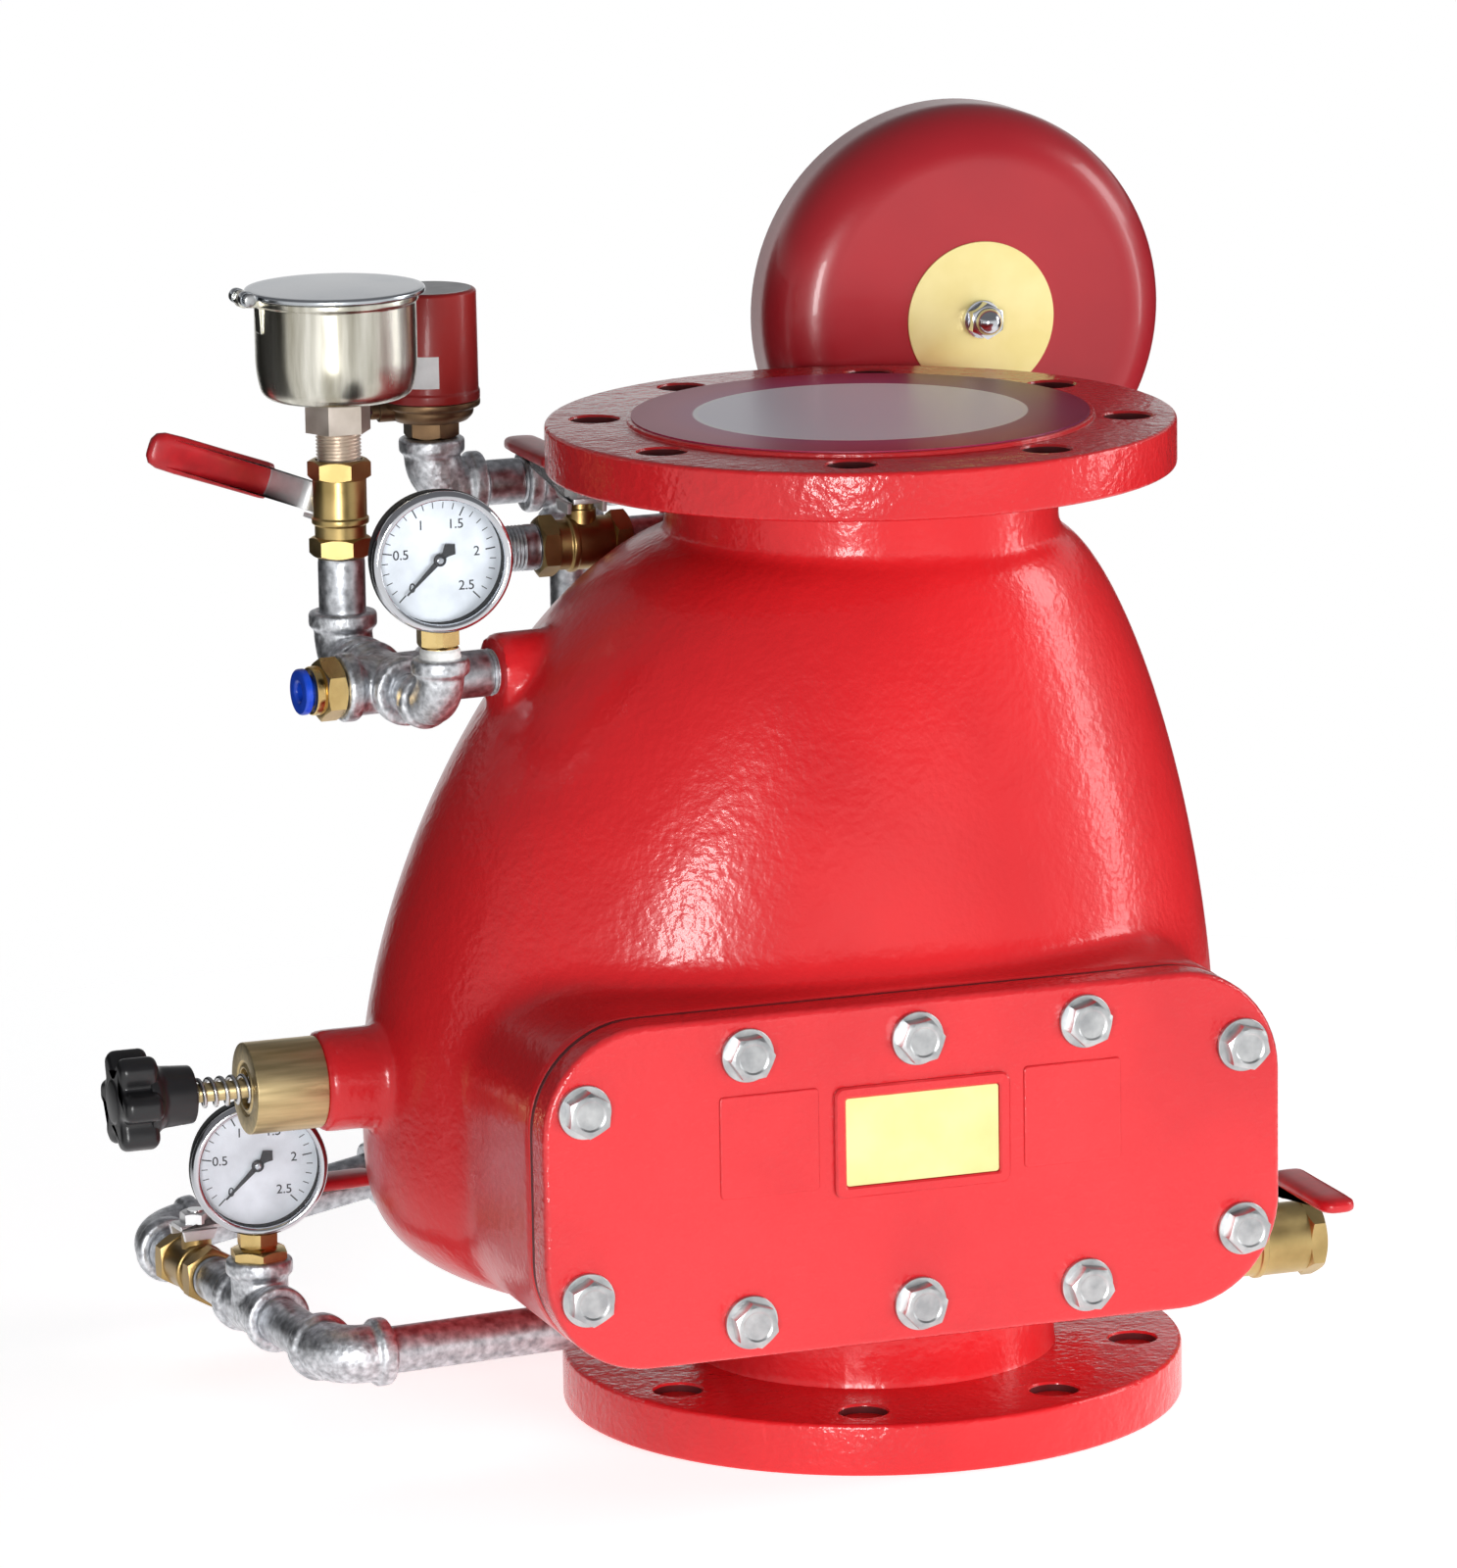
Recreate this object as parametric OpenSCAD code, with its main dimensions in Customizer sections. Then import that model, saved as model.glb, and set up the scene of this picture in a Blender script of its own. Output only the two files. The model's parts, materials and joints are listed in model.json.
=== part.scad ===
/* [Flanges] */
// Outside diameter of both pipe flanges
flange_d = 285; // [276:1:300]
// Thickness of both pipe flanges
flange_t = 24; // [18:1:28]
// Diameter of the bolt circle
bolt_circle_d = 240; // [236:1:250]
// Diameter of the bolt holes
bolt_hole_d = 22; // [16:1:24]
// Number of bolt holes in each flange
bolt_count = 8; // [4:4:12]
// Diameter of the waterway
bore_d = 150; // [144:1:154]
// Diameter of the raised sealing face at the outlet
raised_face_d = 211; // [195:1:213]
// Height of the raised sealing face
raised_face_h = 2; // [1:0.5:3]
// Height over both flange faces
overall_h = 456; // [446:1:470]

/* [Bell casting] */
// Outside diameter of the outlet neck
neck_d = 178; // [174:1:184]
// Length of the outlet neck below its flange
neck_l = 27; // [24:1:30]
// Outside diameter of the inlet neck
inlet_neck_d = 168; // [164:1:174]
// Width of the bulb from side to side
bulb_w = 400; // [394:1:410]
// Depth of the bulb from front to back
bulb_depth = 276; // [268:1:284]
// Shift of the bulb's centre to the left of the waterway
bulb_shift = 37.5; // [34:0.5:42]
// Height where the wall turns in towards the outlet
shoulder_z = 165; // [158:1:172]
// Height where the wall turns in towards the inlet
belly_z = 140; // [132:1:148]
// Height of the bulb's underside
underside_z = 63; // [62:1:65]
// Thickness of the casting's wall
wall = 12; // [10:0.5:13]

/* [Hand hole] */
// Width of the hand-hole cover
cover_w = 345; // [335:1:350]
// Height of the hand-hole cover
cover_h = 154; // [150:1:160]
// Corner radius of the hand-hole cover
cover_r = 48; // [40:1:55]
// Thickness of the hand-hole cover
cover_t = 18; // [14:1:22]
// How far the hand-hole box stands out of the bell
box_proud = 11; // [7:1:17]
// Thickness of the cover gasket
gasket_t = 3; // [2:0.5:4]
// Sideways place of the cover's centre
cover_x = -41; // [-45:1:-37]
// Height of the cover's centre
cover_z = 149; // [146:1:152]
// Thread diameter of the cover bolts
cover_bolt_d = 12; // [10:1:14]
// Width across flats of the cover bolt heads
cover_bolt_af = 18; // [16:1:20]

/* [Clapper] */
// Diameter of the clapper
clapper_d = 208; // [204:1:210]
// Thickness of the clapper plate
clapper_t = 13; // [11:1:15]
// Height of the seat ring's lip
seat_z = 92; // [90:1:94]
// Distance of the hinge pin from the waterway's axis
hinge_reach = 140; // [138:1:142]
// Diameter of the hinge pin
hinge_pin_d = 14; // [12:1:15]

/* [Reset knob] */
// Height of the reset knob's axis
reset_z = 172; // [168:1:176]
// Diameter of the boss that carries the gland
reset_boss_d = 46; // [43:1:50]
// Distance of the boss face from the waterway's axis
reset_boss_reach = 264; // [260:1:268]
// Diameter of the brass gland
gland_d = 41.5; // [38:0.5:44]
// Length of the brass gland outside its boss
gland_l = 33; // [30:1:36]
// Diameter of the push stem
stem_d = 8.5; // [7:0.5:9]
// Outside diameter of the star knob
knob_d = 48; // [42:1:54]
// Length of the spring between gland and knob
spring_l = 33; // [30:1:36]

/* [Pipe trim] */
// Outside diameter of the trim pipe
pipe_d = 21.3; // [20:0.1:22]
// Diameter of the passage in the trim pipe
pipe_bore_d = 16; // [13:0.5:17]
// Distance from the middle of a fitting to its face
fitting_reach = 24; // [23:0.5:25]
// Diameter of a fitting's barrel
fitting_d = 26.4; // [25:0.2:27.6]
// Diameter of the bead at a fitting's mouth
bead_d = 31; // [29:0.5:32]
// Diameter of the bosses that take a pipe
pipe_boss_d = 35; // [32:1:38]
// Height of the air line above the base
air_z = 351; // [348:1:354]
// Height of the inlet ports above the base
port_z = 50; // [48:1:51]
// Height of the alarm line above the base
alarm_z = 399; // [397:1:401]
// Distance of the alarm line behind the waterway
alarm_y = 203; // [200:1:208]
// Gap between the left side of the bell and the supply loop
supply_gap = 27.5; // [24.5:0.5:32.5]
// Length of the test line along the side
test_line_l = 229; // [226:1:236]

/* [Ball valves] */
// Length of a small ball valve
valve_l = 44; // [42:1:48]
// Diameter of a small ball valve's barrel
valve_d = 25; // [24:0.5:27]
// Width across flats of a small valve's ends
valve_af = 25; // [24:0.5:28]
// Length of a small valve's lever from its stem
lever_l = 88; // [80:1:92]
// Length of the drain valve
drain_valve_l = 52; // [48:1:56]
// Diameter of the drain valve's barrel
drain_valve_d = 34; // [32:1:36]
// Width across flats of the drain valve's ends
drain_valve_af = 33; // [32:1:36]
// Outside diameter of the drain pipe
drain_pipe_d = 26.9; // [25:0.1:28]

/* [Gauges] */
// Outside diameter of the gauge bezel
gauge_d = 63; // [58:1:66]
// Depth of the gauge case
gauge_depth = 24; // [22:1:28]
// Height of the dial's centre above its fitting
gauge_rise = 68; // [66:1:72]

/* [Filling cup] */
// Diameter of the filling cup
cup_d = 72.5; // [66:0.5:76]
// Height of the filling cup
cup_h = 48; // [42:1:54]
// Wall of the filling cup
cup_wall = 1.6; // [1.2:0.1:2.4]
// Diameter of the cup's lid
lid_d = 81; // [79:0.5:82]
// Thickness of the cup's lid
lid_t = 2.4; // [2:0.1:3]

/* [Alarm] */
// Diameter of the gong
gong_d = 196; // [184:1:200]
// Depth of the gong from rim to face
gong_depth = 46; // [42:1:50]
// Thickness of the gong's metal
gong_wall = 3; // [2:0.5:4]
// Height of the gong's centre
gong_z = 471; // [466:1:476]
// Sideways place of the gong's centre
gong_x = 112; // [108:1:116]
// Diameter of the water motor's housing
motor_d = 80; // [76:1:84]
// Diameter of the pressure switch
switch_d = 46.5; // [42:0.5:50]
// Height of the pressure switch's can
switch_h = 52; // [46:1:58]

/* [Hidden] */
$fn = 64;

// Clearances and small allowances
run_clear = 0.05;
seat_clear = 0.3;
overlap = 1;

// Colours
red_enamel = [0.80, 0.10, 0.12];
dark_red = [0.55, 0.06, 0.08];
galvanized = [0.70, 0.71, 0.72];
zinc = [0.82, 0.82, 0.82];
brass = [0.78, 0.62, 0.30];
bronze = [0.60, 0.45, 0.22];
black = [0.06, 0.06, 0.07];
white = [0.95, 0.95, 0.95];

// Flange and neck levels, and the film over the outlet
flange_r = flange_d / 2;
bore_r = bore_d / 2;
neck_r = neck_d / 2;
inlet_neck_r = inlet_neck_d / 2;
outlet_disc_z = overall_h - flange_t;
flange_fillet = 8;
flange_chamfer = 1.5;
film_t = 0.6;
film_edge = 2;

// Bell form: round lobes side by side whose radii follow the height, t = 0 at a neck and t = 1 at the bulb
bell_top_z = outlet_disc_z - neck_l;
shoulder_power = 1.6;
belly_power = 3;
shoulder_steps = 10;
belly_steps = 6;
neck_tuck = 2;
lobe_tip_r = 5;
side_lobes = 3;
floor_extra = 2;
floor_t = wall + floor_extra;
inner_top_z = bell_top_z - wall / 2;
inner_floor_z = underside_z + floor_t;
left_lobe_x = -bulb_shift - bulb_w / 2 + bulb_depth / 2;
right_lobe_x = -bulb_shift + bulb_w / 2 - bulb_depth / 2;

// Heights up the wall with the neck radius that each grows from: [z, t, r]
function belly_level(k, low_z, r) = let (w = 90 * (1 - k / belly_steps))
  [belly_z - (belly_z - low_z) * pow(sin(w), 2 / belly_power), pow(cos(w), 2 / belly_power), r];
function shoulder_level(k, top_z, r) = let (w = 90 * k / shoulder_steps)
  [shoulder_z + (top_z - shoulder_z) * pow(sin(w), 2 / shoulder_power), pow(cos(w), 2 / shoulder_power), r];
function bell_levels(low_z, top_z, low_r, top_r) = concat(
  [for (k = [0 : belly_steps]) belly_level(k, low_z, low_r)],
  [for (k = [0 : shoulder_steps]) shoulder_level(k, top_z, top_r)]);

// Radius at a level of the middle lobe, and of a side lobe standing at x
function middle_r(level, skin) = level[2] + (bulb_depth / 2 - skin - level[2]) * level[1];
function side_r(level, skin, x) = level[2] + (bulb_w / 2 - skin - level[2]) * level[1]
  - sign(x) * bulb_shift * level[1] - abs(x);
function middle_curve(levels, skin) = [for (l = levels) [middle_r(l, skin), l[0]]];
function side_curve(levels, skin, x, part) = [for (l = levels) let (r = side_r(l, skin, x))
  if (r > lobe_tip_r) [r * part + middle_r(l, skin) * (1 - part), l[0]]];
function to_axis(curve) = concat([[0, curve[0][1]]], curve, [[0, curve[len(curve) - 1][1]]]);
bulb_left = bulb_shift + bulb_w / 2;
supply_l = bulb_left + supply_gap;

// Hand hole: box, cover and bolts
box_back_y = -60;
opening_w = 268;
opening_h = 86;
opening_r = 38;
box_reach = bulb_depth / 2 + box_proud;
gasket_y = -box_reach;
cover_back_y = gasket_y - gasket_t;
cover_face_y = cover_back_y - cover_t;
bolt_hole_clear = 0.75;
washer_d = 2 * cover_bolt_d;
washer_t = 2.5;
bolt_head_share = 0.62;
bolt_head_h = bolt_head_share * cover_bolt_d;
bolt_grip = 22;
bolt_edge = 17;
end_bolt_edge = 18.5;
end_bolt_rise = 42;
row_bolt_pitch = 79;
row_bolt_z = cover_h / 2 - bolt_edge;
end_bolt_x = cover_w / 2 - end_bolt_edge;
cover_bolt_places = concat(
  [for (x = [-1, 0, 1]) for (z = [-1, 1]) [x * row_bolt_pitch, z * row_bolt_z]],
  [for (x = [-1, 1]) for (z = [-1, 1]) [x * end_bolt_x, z * end_bolt_rise]]);
plate_w = 72;
plate_h = 40;
plate_t = 1;
plate_x = 2;
plate_z = 16;
plate_rim = 5;
plate_rim_h = 2.5;
pad_size = 46;
pad_h = 1;
pad_x = 71;
pad_z = 19;

// Seat ring and clapper
seat_edge = 4;
seat_r = clapper_d / 2 - seat_edge;
seat_wall = seat_r - bore_r;
seat_sink = 6;
seat_foot_z = inner_floor_z - seat_sink;
seat_groove_w = 9;
seat_groove_depth = 9;
seat_groove_r = bore_r + seat_wall / 2;
facing_t = 6;
facing_edge = 5;
facing_r = clapper_d / 2 - facing_edge;
facing_lap = 10;
facing_bore_r = bore_r - facing_lap;
facing_z = seat_z + seat_clear;
clapper_z = facing_z + facing_t;
clamp_gap = 4;
clamp_r = bore_r - clamp_gap;
clamp_t = 5;
clapper_hub_d = 70;
clapper_hub_h = 8;
clapper_rib_t = 9;
clapper_rib_h = 6;
clapper_ribs = 6;
clamp_bolt_d = 16;
clamp_bolt_af = 24;
clamp_bolt_h = 9;
hinge_sink = 2;
hinge_z = clapper_z + clapper_t - hinge_sink;
hinge_boss_wall = 6;
hinge_boss_d = hinge_pin_d + 2 * hinge_boss_wall;
hinge_boss_l = 58;
hinge_lug_t = 13;
hinge_lug_w = 34;
pin_stickout = 5;
hinge_pin_l = hinge_boss_l + 2 * (hinge_lug_t + pin_stickout);
arm_w = 50;

// Reset knob and latch
gland_spigot_d = 26;
gland_spigot_l = 16;
spring_seat_depth = 8;
spring_seat_d = 18;
spring_d = 13;
spring_wire_d = 2;
spring_turns = 7;
spring_ring_steps = 14;
spring_sides = 6;
gland_face_x = -reset_boss_reach - gland_l;
spring_foot_x = gland_face_x + spring_seat_depth;
knob_hub_x = spring_foot_x - spring_l;
knob_hub_d = 28;
knob_hub_l = 18;
knob_head_l = 21;
knob_lobes = 6;
knob_lobe_d = 14;
knob_core_share = 0.65;
knob_core_d = knob_core_share * knob_d;
knob_socket_l = 26;
stem_collar_d = 15;
stem_collar_l = 5;
stem_collar_gap = 4;
stem_collar_x = -bulb_left + wall + stem_collar_gap;
stem_r = stem_d / 2;
latch_arm = 28;
latch_z = reset_z + latch_arm;
latch_x = -172;
latch_t = 12;
latch_pin_d = 8;
latch_boss_d = 18;
latch_tail_w = 10;
latch_nose_l = 34;
latch_lug_t = 8;
latch_lug_h = 20;
latch_pin_stickout = 3;
latch_pin_l = latch_t + 2 * (latch_lug_t + latch_pin_stickout);
stem_gap = 1.5;
stem_tip_x = latch_x - latch_tail_w - stem_gap;

// Pipe trim
bead_l = 7;
bend_r = 15;
socket_l = 12;
boss_socket_l = 14;
air_yaw = 5;
air_boss_x = -176;
air_boss_y = 3;
air_boss_l = 60;
cross_x = -50;
fill_y = 52;
small_elbow_y = -60;
small_reach = 22;
small_barrel_d = 21;
small_bead_d = 26;
small_pipe_d = 16.7;
supply_yaw = 5;
tee_y = 93;
test_valve_y = 172;
rear_rise = 9;
rear_pipe_l = 190;
rear_boss_l = 82;
coupling_at = 112;
coupling_l = 30;
alarm_x = -70;
riser_foot_z = 150;
riser_boss_y = 152;
switch_x = -138;
vent_x = -100;
vent_y = 100;
vent_z = 387;
vent_boss_x = -58;
vent_boss_l = 56;
vent_tail_l = 30;
drain_boss_reach = 108;
drain_valve_x = 196;
port_boss_reach = 106;
chamber_port_d = 12;
vent_drill_d = 8;

// Ball valve proportions: length, barrel, flats, ball, passage, pipe, lever
small_valve = [valve_l, valve_d, valve_af, 18, 11, pipe_d, lever_l];
drain_valve = [drain_valve_l, drain_valve_d, drain_valve_af, 25, 16, drain_pipe_d, lever_l];
valve_end_l = 11;
valve_neck_d = 14;
valve_neck_h = 7;
valve_stem_d = 8;
lever_t = 2.5;
lever_w = 13;
lever_root = 10;
lever_bend_from = 14;
lever_bend_to = 30;
lever_rise = 12;
fill_lever_rise = 27;
lever_tab_h = 4.5;
lever_nut_af = 13;
lever_nut_h = 6;
grip_w = 17;
grip_t = 7;
grip_tip = 3;

// Rest angles of the levers about their stems, from the open position
fill_lever_angle = -70;
vent_lever_angle = 90;
test_lever_angle = -90;
drain_lever_angle = -90;

// Gauges
gauge_r = gauge_d / 2;
bezel_wall = 1.6;
glass_edge = 0.4;
case_wall = 2;
case_r = gauge_r - bezel_wall;
glass_r = case_r - glass_edge;
dial_r = case_r - case_wall;
bezel_lip = 4;
bezel_l = 9;
bezel_front = 2;
glass_t = 2;
dial_t = 1;
dial_sink = 7;
case_front_y = -gauge_depth / 2 + glass_t + bezel_front;
dial_y = case_front_y + dial_sink;
case_back_y = gauge_depth / 2;
needle_t = 1;
needle_gap = 1.6;
needle_l = 20;
needle_tail_l = 8;
needle_hub_d = 6;
needle_pin_d = 1.6;
needle_pin_l = 8;
needle_w = 2.2;
needle_zero = 45;
socket_square = 14;
socket_hex_af = 24;
socket_hex_h = 7;
socket_spigot_l = 10;
air_gauge_yaw = -10;
supply_gauge_yaw = -13;

// Push-in tube fitting
push_hex_af = 25;
push_hex_l = 10;
push_spigot_l = 11;
push_sleeve_d = 22;
push_sleeve_l = 4;
push_bore_d = 14;
tube_d = 8;
collet_d = 20;
collet_l = 6;
collet_travel = 1.5;
collet_neck_l = 8;

// Filling cup and its stack
fill_valve_z = 71;
adapter_thread_d = 20.5;
adapter_thread_l = 13;
adapter_hex_af = 27;
adapter_hex_h = 14;
adapter_z = fill_valve_z + valve_l / 2;
cup_z = adapter_z + adapter_thread_l + adapter_hex_h;
cup_r = cup_d / 2;
cup_round = 10;
cup_spout_d = 17;
cup_spout_l = 8;
lid_r = lid_d / 2;
lid_z = cup_z + cup_h + seat_clear;
knuckle_d = 7;
knuckle_w = 6;
knuckle_gap = 0.4;
ear_w = 4;
lid_hinge_gap = 0.5;
lid_hinge_x = -lid_r - knuckle_d / 2 - lid_hinge_gap;
lid_hinge_z = lid_z + lid_t / 2;
lid_pin_d = 3;
lid_pin_stickout = 2;
lid_pin_l = knuckle_w + 2 * (knuckle_gap + ear_w + lid_pin_stickout);
lid_pin_head_d = 6;
lid_pin_head_l = 2;
lug_drop = 18;

// Alarm: switch and gong
switch_nut_af = 27;
switch_nut_h = 9;
switch_z = alarm_z + fitting_reach + switch_nut_h;
switch_base_d = 40;
switch_base_h = 9;
switch_plate_h = 4;
switch_can_wall = 1.5;
switch_top_d = 44;
switch_gland_d = 10;
switch_gland_l = 10;
gong_r = gong_d / 2;
gong_rim_y = 183;
gong_face_y = gong_rim_y - gong_depth;
gong_round = 26;
spindle_d = 10;
gong_plate_d = 73;
gong_plate_t = 1;
gong_washer_d = 18;
gong_washer_t = 2;
gong_nut_af = 15;
gong_nut_h = 8;
gong_shoulder_d = 18;
gong_shoulder_l = 6;
motor_front_y = 190;
motor_l = 44;
motor_wall = 5;
motor_inlet_drop = alarm_z + fitting_reach - gong_z;
sleeve_d = 17;
impeller_d = 62;
impeller_l = 20;
impeller_blades = 8;
blade_t = 4;
blade_root = 2;
striker_lip = 2;
striker_l = 76;
striker_w = 10;
striker_t = 8;
hammer_d = 16;
striker_reach = 20;
striker_y = gong_face_y + striker_reach;
spindle_front_l = gong_plate_t + gong_washer_t + gong_nut_h;

// Wires from the pressure switch, each hanging to a bare end
wire_d = 2;
wire_sides = 8;
wire_exit = [switch_x - switch_base_d / 2 - switch_gland_l, alarm_y, switch_z + switch_base_h / 2];
teal_route = [[0, 3, 0.5], [-6, 3, 0.5], [-11, 3, -2.5], [-14, 4, -7.5], [-16, 5, -13.5], [-17, 6, -20.5],
  [-18, 6, -27.5], [-19, 6, -34.5], [-19, 5, -41.5]];
red_route = [[0, 0, 3.5], [-5, 0, 3.5], [-9, -1, 0.5], [-11, -2, -4.5], [-12, -3, -10.5], [-12, -4, -17.5],
  [-12, -5, -24.5], [-11, -5, -31.5], [-10, -5, -38.5], [-9, -5, -45.5]];
dark_route = [[0, -3, 0.5], [-6, -4, 0.5], [-12, -6, -2.5], [-16, -8, -7.5], [-19, -10, -13.5],
  [-20, -11, -20.5], [-20, -12, -27.5], [-18, -13, -34.5], [-15, -14, -41.5], [-12, -15, -48.5],
  [-9, -15, -55.5]];

// Shared shapes
module toward_x() rotate([0, 90, 0]) children();
module toward_y() rotate([-90, 0, 0]) children();
module hexagon(flats, h) cylinder(d = flats / cos(30), h = h, $fn = 6);

module rounded_plate(w, h, r) {
  square([w - 2 * r, h], center = true);
  square([w, h - 2 * r], center = true);
  for (x = [-1, 1])
    for (z = [-1, 1])
      translate([x * (w / 2 - r), z * (h / 2 - r)]) circle(r);
}

// A plate standing in the cover's plane, from y back by t
module cover_slab(y, t, w, h, r)
  translate([cover_x, y + t, cover_z]) rotate([90, 0, 0]) linear_extrude(t) rounded_plate(w, h, r);

module at_cover_bolts(y)
  for (p = cover_bolt_places)
    translate([cover_x + p[0], y, cover_z + p[1]]) rotate([90, 0, 0]) children();

// Rings of points joined into one closed skin
module loft(rings) {
  n = len(rings[0]);
  last = len(rings) - 1;
  polyhedron(
    points = [for (ring = rings) for (p = ring) p],
    faces = concat(
      [[for (i = [0 : n - 1]) i]],
      [for (k = [0 : last - 1]) for (i = [0 : n - 1])
        [k * n + i, (k + 1) * n + i, (k + 1) * n + (i + 1) % n]],
      [for (k = [0 : last - 1]) for (i = [0 : n - 1])
        [k * n + i, (k + 1) * n + (i + 1) % n, k * n + (i + 1) % n]],
      [[for (i = [n - 1 : -1 : 0]) last * n + i]]),
    convexity = 6);
}

// A round cord of even thickness along a list of points that never run along the given direction
function unit(v) = v / norm(v);
function heading(route, k) = unit(route[min(k + 1, len(route) - 1)] - route[max(k - 1, 0)]);
function cord_ring(p, d, r, sides, across) =
  let (side = unit(cross(d, across)), up = cross(d, side))
  [for (i = [0 : sides - 1]) p + r * (cos(360 * i / sides) * side + sin(360 * i / sides) * up)];
module cord(route, d, sides, across)
  loft([for (k = [0 : len(route) - 1]) cord_ring(route[k], heading(route, k), d / 2, sides, across)]);

// Pipe and fittings: bodies run along +X, branches turn to +Y
module pipe(l, d = pipe_d) toward_x() difference() {
  cylinder(d = d, h = l);
  translate([0, 0, -overlap]) cylinder(d = pipe_bore_d * d / pipe_d, h = l + 2 * overlap);
}
module barrel(reach, d, bead) {
  cylinder(d = d, h = reach);
  translate([0, 0, reach - bead_l]) cylinder(d = bead, h = bead_l);
}
module socket_bore(reach, d)
  translate([0, 0, reach - socket_l]) cylinder(d = d + 2 * run_clear, h = socket_l + overlap);

module elbow(reach = fitting_reach, d = fitting_d, bead = bead_d, socket = pipe_d) difference() {
  union() {
    translate([bend_r, bend_r, 0]) rotate([0, 0, 180])
      rotate_extrude(angle = 90) translate([bend_r, 0]) circle(d = d);
    translate([bend_r, 0, 0]) toward_x() barrel(reach - bend_r, d, bead);
    translate([0, bend_r, 0]) toward_y() barrel(reach - bend_r, d, bead);
  }
  toward_x() socket_bore(reach, socket);
  toward_y() socket_bore(reach, socket);
}

module tee() difference() {
  union() {
    toward_x() barrel(fitting_reach, fitting_d, bead_d);
    mirror([1, 0, 0]) toward_x() barrel(fitting_reach, fitting_d, bead_d);
    toward_y() barrel(fitting_reach, fitting_d, bead_d);
  }
  toward_x() socket_bore(fitting_reach, pipe_d);
  mirror([1, 0, 0]) toward_x() socket_bore(fitting_reach, pipe_d);
  toward_y() socket_bore(fitting_reach, pipe_d);
}

module cross_fitting() difference() {
  union() {
    for (turn = [0, 90, 180, 270])
      rotate([0, 0, turn]) toward_x() barrel(fitting_reach, fitting_d, bead_d);
  }
  for (turn = [0, 90, 180, 270])
    rotate([0, 0, turn]) toward_x() socket_bore(fitting_reach, pipe_d);
}

// Places of the trim
module air_frame() translate([air_boss_x, air_boss_y, air_z]) rotate([0, 0, air_yaw]) children();
module supply_frame() translate([0, 0, port_z]) rotate([0, 0, supply_yaw]) children();
module rear_frame()
  supply_frame() translate([-supply_l, test_line_l, 0]) rotate([0, -rear_rise, 0]) children();
module fill_frame() air_frame() translate([cross_x, fill_y, 0]) children();
module alarm_frame() translate([alarm_x, alarm_y, alarm_z]) children();
module gong_frame() translate([gong_x, 0, gong_z]) children();
module air_gauge_frame()
  air_frame() translate([cross_x, small_elbow_y, small_reach - fitting_reach + gauge_rise])
    rotate([0, 0, air_gauge_yaw]) children();
module supply_gauge_frame()
  supply_frame() translate([-supply_l, tee_y, gauge_rise]) rotate([0, 0, supply_gauge_yaw]) children();
module at_gauges() {
  air_gauge_frame() children();
  supply_gauge_frame() children();
}
module fill_valve_frame() fill_frame() translate([0, 0, fill_valve_z]) rotate([0, -90, -90]) children();
module vent_valve_frame() translate([vent_x, vent_y, vent_z]) children();
module test_valve_frame()
  supply_frame() translate([-supply_l, test_valve_y, 0]) rotate([0, 0, 90]) children();
module drain_valve_frame() translate([drain_valve_x, 0, port_z]) children();

// Ball valve: flow along X, stem along +Z, lever along +X when open
module valve_body_shape(v) difference() {
  union() {
    translate([-v[0] / 2 + valve_end_l - overlap, 0, 0])
      toward_x() cylinder(d = v[1], h = v[0] - 2 * (valve_end_l - overlap));
    for (x = [-v[0] / 2, v[0] / 2 - valve_end_l])
      translate([x, 0, 0]) toward_x() hexagon(v[2], valve_end_l);
    cylinder(d = valve_neck_d, h = v[1] / 2 + valve_neck_h);
  }
  sphere(d = v[3] + 2 * seat_clear);
  translate([-v[0] / 2 - overlap, 0, 0]) toward_x() cylinder(d = v[4], h = v[0] + 2 * overlap);
  for (x = [-v[0] / 2 - overlap, v[0] / 2 - valve_end_l])
    translate([x, 0, 0]) toward_x() cylinder(d = v[5] + 2 * run_clear, h = valve_end_l + overlap);
  cylinder(d = valve_stem_d + 2 * run_clear, h = v[1] / 2 + valve_neck_h + overlap);
}

module valve_ball_shape(v) difference() {
  union() {
    sphere(d = v[3]);
    cylinder(d = valve_stem_d, h = v[1] / 2 + valve_neck_h + seat_clear + lever_t + lever_nut_h);
  }
  translate([-v[3], 0, 0]) toward_x() cylinder(d = v[4], h = 2 * v[3]);
}

// Side outline of a lever: flat root, bend and raised arm
module lever_outline(v, rise, from) polygon([
  [from, 0], [lever_bend_from, 0], [lever_bend_to, rise], [v[6], rise],
  [v[6], rise + lever_t], [lever_bend_to - lever_t / 2, rise + lever_t],
  [lever_bend_from - lever_t / 2, lever_t], [from, lever_t]]);

function lever_z(v) = v[1] / 2 + valve_neck_h + seat_clear;

module valve_lever_shape(v, rise) {
  difference() {
    union() {
      translate([0, lever_w / 2, lever_z(v)]) rotate([90, 0, 0]) linear_extrude(lever_w)
        lever_outline(v, rise, -lever_root);
      for (y = [-1, 1])
        translate([-lever_root, y * (valve_neck_d / 2 + seat_clear + lever_t / 2) - lever_t / 2,
          lever_z(v) - lever_tab_h])
          cube([lever_root + lever_bend_from / 2, lever_t, lever_tab_h + lever_t]);
    }
    cylinder(d = valve_stem_d + 2 * run_clear, h = lever_z(v) + rise);
  }
  difference() {
    translate([0, 0, lever_z(v) + lever_t]) hexagon(lever_nut_af, lever_nut_h - overlap);
    cylinder(d = valve_stem_d + 2 * run_clear, h = lever_z(v) + lever_t + lever_nut_h);
  }
}

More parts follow.
